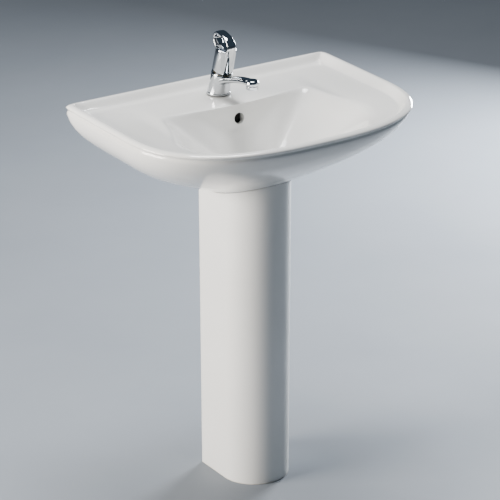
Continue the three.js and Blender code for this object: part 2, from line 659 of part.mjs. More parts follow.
// The spring stands on the bridge and bears under the stem's collar.
function springWire() {
  const turns = 4;
  const pointsPerTurn = 8;
  const last = turns * pointsPerTurn;
  const coil = [];
  for (let i = 0; i <= last; i++) {
    const angle = (i / pointsPerTurn) * Math.PI * 2;
    coil.push(new THREE.Vector3(5.6 * Math.cos(angle), 5.6 * Math.sin(angle), lerp(669.2, 692.8, i / last)));
  }
  return pipe(coil, 0.6, 5, turns * 9);
}
add("waste_spring", springWire(), steel, waste);
add("waste_tailpiece", turned([[15, 560], [16, 560], [16, 612], [18.6, 614], [18.6, 650],
  [17.6, 650], [17.6, 615], [15, 612]], 18), chrome, waste);

// ---- Trap: a J bend turned to the right and back, then an arm straight to the wall ----
const trap = upright(0, 0);
const trapPoint = (share, z) =>
  new THREE.Vector3(TRAP_X * share, -lerp(WASTE_D, TRAP_D, share), z);
const BEND_TOP_Z = 543; // the bend's short side takes the arm, which starts inside it
const ARM_START_Z = 528;
const bend = [[0, 590], [0, 500], [0.04, 478], [0.26, 458], [0.5, 453],
  [0.74, 458], [0.96, 478], [1, 500], [1, 522], [1, BEND_TOP_Z]].map(([share, z]) => trapPoint(share, z));
add("trap_j_bend", hollowPipe(bend, 18.8, 16.9, 12, 14), chrome, trap);
const arm = [[TRAP_D, ARM_START_Z], [TRAP_D, 540], [TRAP_D, 546], [TRAP_D, 554], [TRAP_D - 8, 567],
  [TRAP_D - 26, ARM_Z], [60, ARM_Z], [-30, ARM_Z]].map(([d, z]) => new THREE.Vector3(TRAP_X, -d, z));
add("trap_outlet_arm", hollowPipe(arm, ARM_R, ARM_R - 1.5, 12, 18), chrome, trap);
function slipNut(bore) {
  const grip = turned([[0, -9], [23.5, -9], [24, -8], [24, 6], [21.5, 9], [0, 9]], 10);
  return cut(solid(grip), solid(rod(bore, -12, 12, 18)), solid(rod(19.4, -12, 4.5, 18)));
}
const inletNut = upright(0, WASTE_D, 587);
add("trap_inlet_nut", slipNut(16.4), chrome, inletNut);
add("trap_inlet_washer", ring(16.3, 18.3, 3.4, 4.2, 18), rubber, inletNut);
const unionNut = upright(TRAP_X, TRAP_D, 540);
add("trap_union_nut", slipNut(16.4), chrome, unionNut);
add("trap_union_washer", ring(16.3, 18.3, 3.4, 4.2, 18), rubber, unionNut);
const armRosette = turned([[16.4, CLEAR], [30, CLEAR], [29, 3], [18.5, 13], [16.4, 13]], 24);
add("waste_rosette", armRosette, chrome, onWall(TRAP_X, ARM_Z));

// ---- Wall fixings: hanger bolt, flanged bush, nut ----
for (const [side, name] of [[-1, "left"], [1, "right"]]) {
  const wall = onWall(BOLT_X * side, BOLT_Z);
  add(name + "_hanger_bolt", turned([[0, -FIXING_REACH], [2, -FIXING_REACH + 4], [4.6, -8],
    [4.9, 0], [4.9, 44], [0, 44]], 14), steel, wall);
  add(name + "_fixing_bush", turned([[5.2, CLEAR], [7.6, CLEAR], [7.6, 12.4],
    [17, 12.4], [17, 15.4], [5.2, 15.4]], 18), plastic, wall);
  add(name + "_fixing_nut", hexNut(17, 5.2, 15.7, 23.7), steel, wall);
}

export default sink;
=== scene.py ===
"""A glazed china wash basin on its column, with a single-lever tap, push waste, trap and valves."""

import json
import math

import bmesh
import bpy
import numpy as np
from mathutils import Matrix, Vector


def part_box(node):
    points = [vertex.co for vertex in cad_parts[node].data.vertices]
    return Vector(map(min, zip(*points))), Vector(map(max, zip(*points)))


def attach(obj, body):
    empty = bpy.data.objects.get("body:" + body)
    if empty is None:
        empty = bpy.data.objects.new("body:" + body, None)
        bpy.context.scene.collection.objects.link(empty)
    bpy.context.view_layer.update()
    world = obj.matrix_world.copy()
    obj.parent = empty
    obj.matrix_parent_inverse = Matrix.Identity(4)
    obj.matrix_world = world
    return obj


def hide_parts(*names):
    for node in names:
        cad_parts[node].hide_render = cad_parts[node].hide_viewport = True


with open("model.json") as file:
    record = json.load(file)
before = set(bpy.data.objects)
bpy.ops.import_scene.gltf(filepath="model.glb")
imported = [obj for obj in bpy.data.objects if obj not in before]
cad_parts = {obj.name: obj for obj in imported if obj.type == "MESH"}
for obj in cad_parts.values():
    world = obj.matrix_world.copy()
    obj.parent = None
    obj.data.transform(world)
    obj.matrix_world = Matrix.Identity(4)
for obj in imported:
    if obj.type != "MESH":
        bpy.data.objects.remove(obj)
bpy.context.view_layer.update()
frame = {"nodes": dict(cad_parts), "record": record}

MM = 0.001

# ---- Sizes in millimetres. A depth, d, is measured out from the wall. ----
basin_low, basin_high = (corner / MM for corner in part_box("basin"))
HALF_WIDTH = basin_high.x
WALL = basin_high.y
RIM = basin_high.z
DEPTH = WALL - basin_low.y
SHELL = RIM - basin_low.z


def middle(node):
    """The middle of a node's box, in millimetres."""
    low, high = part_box(node)
    return (low + high) / (2 * MM)


CLEAR = 0.3
WASTE_D = WALL - middle("waste_top_seal").y
DECK = (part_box("tap_base_gasket")[0] / MM).z - CLEAR
TAP_D = WALL - middle("tap_base_gasket").y
OUTLET_D = WALL - middle("aerator_housing").y
OUTLET_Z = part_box("aerator_housing")[0].z / MM

CHINA = 12
RIM_CROWN = 11  # from the outer edge to the middle of the raised rim
RIM_FALL = 20  # from there to where the deck is level
BEAD_FALL = 6  # the rim's outer edge below its crown
UNDERCUT, UNDERCUT_AT, UNDERCUT_WIDTH = 3.2, 0.064, 0.022
STRAIGHT_SIDE = 232
FRONT_FULLNESS = 2.65
BACK_SQUARENESS = 40.0
FOOT_HALF = 78
FOOT_FRONT = 249
FOOT_MID = 149
FOOT_FULLNESS = 2.0
FOOT_SQUARENESS = 2.2
FOOT_SET_BACK = 29
INTO_WALL = 6  # the shell's back curve runs this far into the wall, which cuts it flat
SIDE_POWERS = (2.4, 1.22)
FRONT_POWERS = (1.9, 1.39)
SHOULDER_DROP = 7
BOWL_BACK_HALF = 188
BOWL_BACK = 162
BOWL_BACK_BOW = 24
BOWL_WIDENING = 44
BOWL_FRONT = 446
BOWL_WIDEST = 252
BOWL_BLEND = 9  # roundness of the bowl's edge
FLOOR_Z = 700
FLOOR_FLAT = 36
WASTE_HOLE = 23
OVERFLOW_Z = 794
CHANNEL_HALF = 15
NOTCH_HALF = 112
NOTCH_TOP = 785

COLUMN_HALF = 78.0
COLUMN_BACK = 125
COLUMN_FRONT = 300
COLUMN_TAPER = 0.032
COLUMN_HEAD = 720  # height at which the column has its full width
COLUMN_GAP = 0.8
END_ROUND = 3

TAP_LEAN = math.radians(16.5)
PIVOT_S = 64  # lever pivot, along the tap's leaning axis from the deck
BOLT_X = 140
BOLT_Z = 765
VALVE_X = 72
VALVE_Z = 700
VALVE_OUT = 44
TRAP_X = 36
TRAP_D = 203
ARM_Z = 572
TRAP_BEND = [
    (TRAP_X * share, WALL - WASTE_D + (WASTE_D - TRAP_D) * share, z)
    for share, z in ((0, 590), (0, 500), (0.04, 478), (0.26, 458), (0.5, 453), (0.74, 458),
                     (0.96, 478), (1, 500), (1, 522), (1, 543))
]
TRAP_ARM = [(TRAP_X, WALL - d, z) for d, z in (
    (TRAP_D, 528), (TRAP_D, 540), (TRAP_D, 546), (TRAP_D, 554), (TRAP_D - 8, 567), (TRAP_D - 26, ARM_Z),
    (60, ARM_Z), (-30, ARM_Z))]


# ---- Shader groups ----
def add_node(tree, kind, inputs=None, **traits):
    """A new node with its traits set, and each input either given a value or linked to a socket."""
    made = tree.nodes.new(kind)
    for trait, value in traits.items():
        setattr(made, trait, value)
    for label, value in (inputs or {}).items():
        if isinstance(value, bpy.types.NodeSocket):
            tree.links.new(value, made.inputs[label])
        else:
            made.inputs[label].default_value = value
    return made


def object_coords(tree):
    return add_node(tree, "ShaderNodeTexCoord").outputs["Object"]


def noise(tree, scale, detail, coords=None):
    """A noise texture on object coordinates; scale is per metre."""
    if coords is None:
        coords = object_coords(tree)
    inputs = {"Vector": coords, "Scale": scale, "Detail": detail, "Roughness": 0.55}
    return add_node(tree, "ShaderNodeTexNoise", inputs).outputs["Fac"]


def spread(tree, value, low, high, out_low=0.0, out_high=1.0):
    """Maps a value's range onto another; the ends may be sockets."""
    ends = {"Value": value, "From Min": low, "From Max": high, "To Min": out_low, "To Max": out_high}
    return add_node(tree, "ShaderNodeMapRange", ends).outputs["Result"]


def maths(tree, operation, *values):
    return add_node(tree, "ShaderNodeMath", dict(enumerate(values)), operation=operation).outputs["Value"]


def blended(tree, share, a, b):
    """A colour between two, by a share."""
    inputs = {"Factor": share, "A": a, "B": b}
    return add_node(tree, "ShaderNodeMix", inputs, data_type="RGBA").outputs["Result"]


def group(name, inputs, outputs):
    """An empty shader group, and its own sockets to link from and to."""
    tree = bpy.data.node_groups.new(name, "ShaderNodeTree")
    for label, value in inputs.items():
        socket = tree.interface.new_socket(label, in_out="INPUT", socket_type="NodeSocketFloat")
        socket.default_value = value
    for label in outputs:
        tree.interface.new_socket(label, in_out="OUTPUT", socket_type="NodeSocketFloat")
    return tree, tree.nodes.new("NodeGroupInput").outputs, tree.nodes.new("NodeGroupOutput").inputs


def build_film():
    """Slow clouding of a surface: a mask, and a roughness that wanders between two values."""
    tree, given, out = group("film", {"Scale": 14.0, "Smooth": 0.06, "Dull": 0.14}, ["Mask", "Roughness"])
    mask = spread(tree, noise(tree, given["Scale"], 4), 0.35, 0.68)
    streak = noise(tree, 90.0, 3)
    both = maths(tree, "MULTIPLY", maths(tree, "ADD", mask, streak), 0.5)
    tree.links.new(mask, out["Mask"])
    tree.links.new(spread(tree, both, 0.0, 1.0, given["Smooth"], given["Dull"]), out["Roughness"])
    return tree


def build_grain():
    """A fine relief: even noise with an amount of long scratches drawn across it."""
    tree, given, out = group("grain", {"Scale": 300.0, "Scratches": 0.0}, ["Height"])
    coords = object_coords(tree)
    fine = noise(tree, given["Scale"], 5, coords)
    stretch = add_node(tree, "ShaderNodeMapping", {
        "Vector": coords, "Scale": (1.0, 1.0, 14.0), "Rotation": (0.2, 0.1, 0.0)})
    long = noise(tree, given["Scale"], 2, stretch.outputs["Vector"])
    line = maths(tree, "MULTIPLY", long, given["Scratches"])
    tree.links.new(maths(tree, "ADD", fine, line), out["Height"])
    return tree


def build_specks():
    """Small scattered specks as a mask, such as pinholes in a glaze or grit in a casting."""
    tree, given, out = group("specks", {"Scale": 120.0, "Size": 0.12}, ["Mask"])
    cells = add_node(tree, "ShaderNodeTexVoronoi", {"Vector": object_coords(tree), "Scale": given["Scale"]})
    dot = maths(tree, "LESS_THAN", cells.outputs["Distance"], given["Size"])
    sparse = maths(tree, "GREATER_THAN", noise(tree, 37.0, 2), 0.6)
    tree.links.new(maths(tree, "MULTIPLY", dot, sparse), out["Mask"])
    return tree


FILM = build_film()
GRAIN = build_grain()
SPECKS = build_specks()


# ---- Materials ----
def placed(tree, inner, **values):
    return add_node(tree, "ShaderNodeGroup", values, node_tree=inner).outputs


def surface(
    name, light, dark, film, metallic=0.0, grain=(300.0, 0.0), bump=0.02, bump_size=0.0004,
    specks=None, coat=0.0, coat_roughness=0.05,
):
    """A material whose colour drifts between two tones, with a wandering gloss and a fine relief."""
    material = bpy.data.materials.new(name)
    material.use_nodes = True
    tree = material.node_tree
    shader = tree.nodes["Principled BSDF"].inputs
    clouds = placed(tree, FILM, Scale=film[0], Smooth=film[1], Dull=film[2])
    colour = blended(tree, clouds["Mask"], (*light, 1), (*dark, 1))
    if specks:
        scale, size, speck_colour = specks
        dots = placed(tree, SPECKS, Scale=scale, Size=size)
        colour = blended(tree, dots["Mask"], colour, (*speck_colour, 1))
    relief = placed(tree, GRAIN, Scale=grain[0], Scratches=grain[1])
    lift = add_node(tree, "ShaderNodeBump", {
        "Strength": bump, "Distance": bump_size, "Height": relief["Height"]})
    tree.links.new(colour, shader["Base Color"])
    tree.links.new(clouds["Roughness"], shader["Roughness"])
    tree.links.new(lift.outputs["Normal"], shader["Normal"])
    shader["Metallic"].default_value = metallic
    shader["Coat Weight"].default_value = coat
    shader["Coat Roughness"].default_value = coat_roughness
    return material


GLAZE = surface(
    "white_glaze", (0.88, 0.868, 0.84), (0.85, 0.838, 0.805), (5.0, 0.07, 0.13),
    grain=(60.0, 0.0), bump=0.05, bump_size=0.0006, coat=0.35, coat_roughness=0.04,
    specks=(150.0, 0.05, (0.70, 0.68, 0.64)),
)
BARE_CHINA = surface(
    "bare_china", (0.74, 0.71, 0.65), (0.66, 0.63, 0.57), (18.0, 0.6, 0.8),
    grain=(500.0, 0.0), bump=0.35, specks=(420.0, 0.2, (0.5, 0.46, 0.4)),
)
# Painted shade: a near-black material for the faces inside the overflow channel, standing in for the shadow
# deep in the channel
CHANNEL_PAINTED_SHADE = surface(
    "channel_painted_shade", (0.035, 0.032, 0.028), (0.02, 0.018, 0.016), (40.0, 0.7, 0.9),
    grain=(500.0, 0.0), bump=0.3,
)
CHROME = surface(
    "polished_chrome", (0.57, 0.59, 0.61), (0.50, 0.52, 0.545), (60.0, 0.035, 0.10),
    metallic=1.0, grain=(700.0, 0.5), bump=0.02, bump_size=0.0001,
)
BRASS = surface(
    "turned_brass", (0.70, 0.54, 0.26), (0.56, 0.41, 0.18), (70.0, 0.22, 0.42),
    metallic=1.0, grain=(900.0, 1.0), bump=0.12, bump_size=0.0002,
)
STEEL = surface(
    "zinc_steel", (0.62, 0.63, 0.64), (0.50, 0.51, 0.52), (80.0, 0.25, 0.45),
    metallic=1.0, grain=(900.0, 1.2), bump=0.15, bump_size=0.0002,
)
RUBBER = surface(
    "black_rubber", (0.028, 0.028, 0.03), (0.05, 0.05, 0.052), (90.0, 0.55, 0.8),
    grain=(1200.0, 0.0), bump=0.4, bump_size=0.0002,
)
PLASTIC = surface(
    "white_plastic", (0.80, 0.79, 0.76), (0.74, 0.73, 0.69), (60.0, 0.32, 0.5),
    grain=(1500.0, 0.0), bump=0.12, bump_size=0.0001,
)
DISC = surface(
    "lapped_ceramic", (0.86, 0.85, 0.80), (0.80, 0.79, 0.74), (120.0, 0.12, 0.22),
    grain=(2000.0, 0.3), bump=0.05, bump_size=0.0001,
)
SLOTS = {
    GLAZE: "china", BARE_CHINA: "china", CHROME: "chrome", BRASS: "brass", STEEL: "steel",
    RUBBER: "rubber", PLASTIC: "plastic", DISC: "disc_ceramic",
}


def two_tone():
    """The tap's index button: warm red on one half, blue on the other."""
    material = surface("index_enamel", (0.9, 0.9, 0.9), (0.8, 0.8, 0.8), (200.0, 0.1, 0.2))
    tree = material.node_tree
    axes = add_node(tree, "ShaderNodeSeparateXYZ", {"Vector": object_coords(tree)})
    left = maths(tree, "LESS_THAN", axes.outputs["X"], 0.0)
    halves = blended(tree, left, (0.02, 0.09, 0.42, 1), (0.52, 0.03, 0.02, 1))
    tree.links.new(halves, tree.nodes["Principled BSDF"].inputs["Base Color"])
    return material


# ---- Mesh making ----
def in_scene(name, data):
    """A new object in the scene."""
    thing = bpy.data.objects.new(name, data)
    bpy.context.scene.collection.objects.link(thing)
    return thing


def round_turn(count):
    """Equal angles once round."""
    return [2 * math.pi * j / count for j in range(count)]


def settle(piece, sharp=38.0, merge=1e-6, flip=True):
    """Merges doubles, turns the faces outwards and keeps only edges sharper than an angle hard."""
    work = bmesh.new()
    work.from_mesh(piece.data)
    bmesh.ops.remove_doubles(work, verts=work.verts, dist=merge)
    bmesh.ops.dissolve_degenerate(work, edges=work.edges, dist=merge / 2)
    if flip:
        bmesh.ops.recalc_face_normals(work, faces=work.faces)
    limit = math.radians(sharp)
    for face in work.faces:
        face.smooth = True
    for edge in work.edges:
        edge.smooth = not (len(edge.link_faces) == 2 and edge.calc_face_angle(0.0) > limit)
    work.to_mesh(piece.data)
    work.free()
    return piece


def mesh_piece(name, points, faces, material, place=None, sharp=38.0):
    """A new piece from points in millimetres, with its place in its mesh."""
    mesh = bpy.data.meshes.new(name)
    mesh.from_pydata([tuple(p) for p in points], [], [tuple(f) for f in faces])
    mesh.transform(Matrix.Scale(MM, 4) @ (place or Matrix.Identity(4)))
    mesh.materials.append(material)
    return settle(in_scene(name, mesh), sharp)


def ring_faces(rings, count, closed_ends=True, loop=False):
    """Quads between rings of equal count, and either caps or a return to the first ring."""
    faces = []
    pairs = len(rings) if loop else len(rings) - 1
    for i in range(pairs):
        a = i * count
        b = ((i + 1) % len(rings)) * count
        for j in range(count):
            k = (j + 1) % count
            faces.append((a + j, a + k, b + k, b + j))
    if closed_ends and not loop:
        faces.append(tuple(reversed(range(count))))
        last = (len(rings) - 1) * count
        faces.append(tuple(range(last, last + count)))
    return faces


def from_rings(name, rings, material, place=None, loop=False, sharp=38.0):
    count = len(rings[0])
    points = [p for ring in rings for p in ring]
    return mesh_piece(name, points, ring_faces(rings, count, loop=loop), material, place, sharp)


def softened(profile, radius, closed):
    """A profile whose corners are rounded off, each by at most the radius."""
    out = []
    steps = 4
    count = len(profile)
    for i, corner in enumerate(profile):
        if not closed and i in (0, count - 1):
            out.append(corner)
            continue
        before, after = profile[i - 1], profile[(i + 1) % count]
        here = Vector(corner)
        back, ahead = Vector(before) - here, Vector(after) - here
        if back.length < 1e-6 or ahead.length < 1e-6 or back.angle(-ahead) < 0.2:
            out.append(corner)
            continue
        start = here + back.normalized() * min(radius, back.length * 0.45)
        end = here + ahead.normalized() * min(radius, ahead.length * 0.45)
        for k in range(steps + 1):
            t = k / steps
            p = start * (1 - t) ** 2 + here * 2 * t * (1 - t) + end * t * t
            out.append((p.x, p.y))
    return out


def turned(name, profile, material, place=None, segments=96, soft=0.4):
    """A turned piece about Z from (radius, height) pairs; a profile off the axis closes on itself."""
    on_axis = profile[0][0] == 0 and profile[-1][0] == 0
    outline = softened(profile, soft, not on_axis)
    turns = round_turn(segments)
    if on_axis:
        outline = [(max(r, 1e-3), h) for r, h in outline]
    rings = [[(r * math.cos(a), r * math.sin(a), h) for a in turns] for r, h in outline]
    return from_rings(name, rings, material, place, loop=not on_axis)


def hex_nut(name, flats, bore, low, high, material, place=None):
    """A hexagonal nut with its corners turned down to a cone at both faces."""
    height = high - low
    levels = [(0.0, 0.94), (0.07, 1.0), (0.5, 1.2), (0.93, 1.0), (1.0, 0.94)]
    turns = round_turn(96)
    rings = []
    for share, limit in levels:
        ring = []
        for a in turns:
            wedge = (a + math.pi / 6) % (math.pi / 3) - math.pi / 6
            r = min(flats / 2 / math.cos(wedge), flats / 2 * limit * 1.12)
            ring.append((r * math.cos(a), r * math.sin(a), low + share * height))
        rings.append(ring)
    for share in (1.0, 0.0):
        chamfer = bore + 0.5
        inset = 0.6 if share else -0.6
        hole = [(chamfer, low + share * height), (bore, low + share * height - inset)]
        for r, h in hole if share else reversed(hole):
            rings.append([(r * math.cos(a), r * math.sin(a), h) for a in turns])
    return from_rings(name, rings, material, place, loop=True, sharp=24.0)


def baked(piece, name):
    """The piece with its modifiers made real, as a plain mesh object at the origin."""
    bpy.context.view_layer.update()
    seen = piece.evaluated_get(bpy.context.evaluated_depsgraph_get())
    mesh = bpy.data.meshes.new_from_object(seen)
    bpy.data.objects.remove(piece)
    mesh.name = name
    return in_scene(name, mesh)


def moved(piece, place):
    """Moves a finished mesh by a place whose translation is in millimetres."""
    piece.data.transform(Matrix.Translation(place.translation * (MM - 1)) @ place)


def combined(piece, others, operation, sharp=38.0):
    """The piece after joining or cutting it with others, which are used up."""
    name = piece.name
    materials = list(piece.data.materials)
    for other in others:
        step = piece.modifiers.new(operation.lower(), "BOOLEAN")
        step.operation = operation
        step.solver = "MANIFOLD"
        step.object = other
    piece.name = name + "_raw"
    result = baked(piece, name)
    for other in others:
        bpy.data.objects.remove(other)
    while len(result.data.materials) > len(materials):
        result.data.materials.pop()
    return settle(result, sharp, merge=2e-6, flip=False)


# ---- Geometry node trees ----
def node_tree(name, inputs):
    """A geometry tree with a geometry in, the named inputs and a material, and a geometry out."""
    tree = bpy.data.node_groups.new(name, "GeometryNodeTree")
    tree.interface.new_socket("Geometry", in_out="INPUT", socket_type="NodeSocketGeometry")
    for label, kind, value in inputs:
        socket = tree.interface.new_socket(label, in_out="INPUT", socket_type="NodeSocket" + kind)
        socket.default_value = value
    tree.interface.new_socket("Material", in_out="INPUT", socket_type="NodeSocketMaterial")
    tree.interface.new_socket("Geometry", in_out="OUTPUT", socket_type="NodeSocketGeometry")
    return tree, tree.nodes.new("NodeGroupInput").outputs, tree.nodes.new("NodeGroupOutput").inputs


def finish_tree(tree, given, out, geometry):
    """Realize Instances and Set Material, then out."""
    real = add_node(tree, "GeometryNodeRealizeInstances", {"Geometry": geometry})
    paint = add_node(tree, "GeometryNodeSetMaterial", {
        "Geometry": real.outputs["Geometry"], "Material": given["Material"]})
    tree.links.new(paint.outputs["Geometry"], out["Geometry"])
    return tree


def swept(tree, path, radius, sides, capped):
    """A round section carried along a curve."""
    section = add_node(tree, "GeometryNodeCurvePrimitiveCircle", {"Resolution": sides, "Radius": radius})
    return add_node(tree, "GeometryNodeCurveToMesh", {
        "Curve": path, "Profile Curve": section.outputs["Curve"], "Fill Caps": capped}).outputs["Mesh"]


def build_tube_tree():
    """An open-ended round tube along a path."""
    tree, given, out = node_tree("tube_on_path", [("Radius", "Float", 0.005), ("Sides", "Int", 48)])
    path = add_node(tree, "GeometryNodeMeshToCurve", {"Mesh": given["Geometry"]}).outputs["Curve"]
    return finish_tree(tree, given, out, swept(tree, path, given["Radius"], given["Sides"], False))


def build_ring_tree():
    """Copies of a small piece set round the Z axis, each turned to face outwards."""
    tree, given, out = node_tree("copies_in_ring", [("Count", "Int", 24), ("Radius", "Float", 0.02)])
    spots = add_node(tree, "GeometryNodeMeshCircle", {"Vertices": given["Count"], "Radius": given["Radius"]})
    index = add_node(tree, "GeometryNodeInputIndex").outputs["Index"]
    turn = maths(tree, "MULTIPLY", maths(tree, "DIVIDE", index, given["Count"]), 2 * math.pi)
    angles = add_node(tree, "ShaderNodeCombineXYZ", {"Z": turn})
    copies = add_node(tree, "GeometryNodeInstanceOnPoints", {
        "Points": spots.outputs["Mesh"], "Instance": given["Geometry"], "Rotation": angles.outputs["Vector"]})
    return finish_tree(tree, given, out, copies.outputs["Instances"])


def build_thread_tree():
    """A screw thread: a small round ridge on a rising spiral."""
    tree, given, out = node_tree("screw_thread", [
        ("Radius", "Float", 0.005), ("Height", "Float", 0.02),
        ("Turns", "Float", 12.0), ("Ridge", "Float", 0.0004)])
    spiral = add_node(tree, "GeometryNodeCurveSpiral", {
        "Resolution": 24, "Start Radius": given["Radius"], "End Radius": given["Radius"],
        "Height": given["Height"], "Rotations": given["Turns"]})
    return finish_tree(tree, given, out, swept(tree, spiral.outputs["Curve"], given["Ridge"], 6, True))


TUBE_TREE = build_tube_tree()
RING_TREE = build_ring_tree()
THREAD_TREE = build_thread_tree()


def grown(piece, tree, place=None, wall=0.0, **settings):
    """The plain mesh that a geometry tree makes from a piece, moved to its place."""
    name = piece.name
    step = piece.modifiers.new(tree.name, "NODES")
    step.node_group = tree
    sockets = {item.name: item.identifier for item in tree.interface.items_tree if item.in_out == "INPUT"}
    for label, value in settings.items():
        step[sockets[label]] = value
    if wall:
        thick = piece.modifiers.new("wall", "SOLIDIFY")
        thick.thickness = wall * MM
        thick.offset = -1.0
    piece.name = name + "_raw"
    result = baked(piece, name)
    if place:
        moved(result, place)
    return settle(result, flip=not wall)


def smooth_path(points, per_span=10):
    """Points on a smooth curve through the given ones, closely spaced."""
    knots = [np.array(p, float) for p in points]
    out = []
    for i in range(len(knots) - 1):
        before, start, end = knots[max(i - 1, 0)], knots[i], knots[i + 1]
        after = knots[min(i + 2, len(knots) - 1)]
        span = np.linalg.norm(end - start)
        leaving = (end - before) / np.linalg.norm(end - before) * span
        arriving = (after - start) / np.linalg.norm(after - start) * span
        for k in range(per_span):
            t = k / per_span
            out.append((2 * t**3 - 3 * t**2 + 1) * start + (t**3 - 2 * t**2 + t) * leaving
                       + (3 * t**2 - 2 * t**3) * end + (t**3 - t**2) * arriving)
    out.append(knots[-1])
    return out


def tube(name, points, radius, wall, sides):
    """A chromed tube along a smooth path, in millimetres."""
    path = smooth_path(points)
    mesh = bpy.data.meshes.new(name)
    mesh.from_pydata([tuple(p * MM) for p in path], [(i, i + 1) for i in range(len(path) - 1)], [])
    return grown(in_scene(name, mesh), TUBE_TREE, wall=wall, Radius=radius * MM, Sides=sides, Material=CHROME)


def copies_round(name, small, count, radius, place):
    """A ring of copies of a small chromed piece, which is used up."""
    small.name = name
    return grown(small, RING_TREE, place, Count=count, Radius=radius * MM, Material=CHROME)


def thread(name, radius, low, high, pitch, material, place, ridge):
    """A screw thread along a place's own Z."""
    empty = in_scene(name, bpy.data.meshes.new(name))
    at = place @ Matrix.Translation((0, 0, low))
    return grown(empty, THREAD_TREE, at, Radius=radius * MM, Height=(high - low) * MM,
                 Turns=(high - low) / pitch, Ridge=ridge * MM, Material=material)


def seated(piece, body="sink", nodes=()):
    """Rides the piece on a body, in place of the nodes it stands for."""
    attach(piece, body)
    if nodes:
        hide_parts(*nodes)
    return piece


# ---- Basin surface, the same rules as the solid's, on a closer grid ----
def smoothstep(x, low, high):
    t = np.clip((x - low) / (high - low), 0.0, 1.0)
    return t * t * (3 - 2 * t)


def lerp(a, b, t):
    return a + (b - a) * t


def curve_value(curve, x, d):
    """1 on a closed plan curve and less inside it."""
    w, front, mid, back, n_front, n_back = curve
    ahead = d > mid
    n = np.where(ahead, n_front, n_back)
    half = np.where(ahead, front - mid, mid - back)
    return (np.abs(x / w) ** n + np.abs((d - mid) / half) ** n) ** (1 / n)


def outline(inset=0.0):
    return (HALF_WIDTH - inset, DEPTH - inset, STRAIGHT_SIDE, inset, FRONT_FULLNESS, BACK_SQUARENESS)


def drawn_in(u, powers):
    """How far the shell has turned in at a share u of its height: 0 at the rim, 1 at the foot."""
    fall, turn = powers
    return 1 - (1 - u**fall) ** turn


def shell_curve(u, offset=0.0):
    """The outside of the shell at a share u of its height below the rim."""
    set_back = FOOT_SET_BACK * max(0.0, (u - 0.3) / 0.7) ** 1.6 - INTO_WALL
    return (
        lerp(HALF_WIDTH, FOOT_HALF, drawn_in(u, SIDE_POWERS)) + offset,
        lerp(DEPTH, FOOT_FRONT, drawn_in(u, FRONT_POWERS)) + offset,
        lerp(STRAIGHT_SIDE, FOOT_MID, u),
        set_back - offset * (1 + 8 / CHINA if offset < 0 else 1),
        lerp(FRONT_FULLNESS, FOOT_FULLNESS, u),
        lerp(FOOT_SQUARENESS, BACK_SQUARENESS, (1 - u) ** 2.6),
    )


def reach(value, centre=WASTE_D):
    """Distance from a centre to where the value passes 1, for each of the angles."""
    low = np.zeros_like(ANGLES)
    high = np.full_like(ANGLES, 800.0)
    for _ in range(44):
        r = (low + high) / 2
        inside = value(r * np.cos(ANGLES), centre + r * np.sin(ANGLES)) < 1
        low = np.where(inside, r, low)
        high = np.where(inside, high, r)
    return low


def curve_reach(curve, centre=WASTE_D):
    return reach(lambda x, d: curve_value(curve, x, d), centre)


def bowl_edge(x, d):
    """1 on the bowl's edge: a straight back that bows forward, and a round, wider front."""
    half = BOWL_BACK_HALF + BOWL_WIDENING * smoothstep(d, 150, 320)
    back = BOWL_BACK - BOWL_BACK_BOW * np.clip((x / BOWL_BACK_HALF) ** 2, 0, 1.5)
    ahead = d > BOWL_WIDEST
    n = np.where(ahead, 2.3, 9.0)
    along = np.where(ahead, (d - BOWL_WIDEST) / (BOWL_FRONT - BOWL_WIDEST),
                     (BOWL_WIDEST - d) / (BOWL_WIDEST - back))
    return (np.abs(x) / half) ** n + np.abs(along) ** n


def inset_at(x, d):
    """Distance in from the outline."""
    value = curve_value(outline(), x, d)
    slope_x = curve_value(outline(), x + 1, d) - value
    slope_d = curve_value(outline(), x, d + 1) - value
    return (1 - value) / np.hypot(slope_x, slope_d)


def deck_height(x, d, to_edge):
    """Height of the rim and deck; to_edge is 0 on the crown and 1 on the bowl's edge."""
    beside = np.maximum(smoothstep(np.abs(x), 178, 222), smoothstep(d, 165, 260))
    rim_fall = (RIM - DECK) * smoothstep(inset_at(x, d), RIM_CROWN, RIM_CROWN + RIM_FALL)
    return RIM - rim_fall - beside * SHOULDER_DROP * np.clip(to_edge, 0, 1) ** 2


def bowl_height(r, edge, edge_z):
    """Height of the bowl: gently rounded at the front and sides, upright at the back."""
    t = np.clip((r - FLOOR_FLAT) / (edge - FLOOR_FLAT), 0, None)
    behind = -np.sin(ANGLES)
    power = 1.4 - 0.32 * smoothstep(behind, 0, 0.5)
    upright = 0.3 * smoothstep(behind, 0.5, 0.95)
    return FLOOR_Z + (edge_z + 3 - FLOOR_Z) * ((1 - upright) * t**power + upright * t**14)


def soft_min(a, b, blend):
    h = np.clip(0.5 + 0.5 * (b - a) / blend, 0, 1)
    return lerp(b, a, h) - blend * h * (1 - h)


# Even steps round the waste, with a few more at the outline's and the bowl's back corners
ANGLES = np.sort(np.concatenate([
    np.arange(256) / 256 * 2 * math.pi,
    *[np.array([c + 2 * math.pi, math.pi - c]) + turn
      for c in (math.atan2(-WASTE_D, HALF_WIDTH), math.atan2(138 - WASTE_D, BOWL_BACK_HALF))
      for turn in (-0.011, -0.004, 0.004, 0.011)],
]))


def plan_ring(r, centre, z):
    """A ring of points at distances r round a centre, kept off the wall."""
    d = np.maximum(centre + r * np.sin(ANGLES), 0.0)
    heights = np.broadcast_to(z, r.shape)
    return [(float(a), float(WALL - b), float(c)) for a, b, c in zip(r * np.cos(ANGLES), d, heights)]


def shell_ring(u, offset, z):
    centre = lerp(WASTE_D, 136, u)
    return plan_ring(curve_reach(shell_curve(u, offset), centre), centre, z)


def undercut(u):
    """How far the shell is drawn in just under the rim's bead."""
    return UNDERCUT * math.exp(-(((u - UNDERCUT_AT) / UNDERCUT_WIDTH) ** 2))


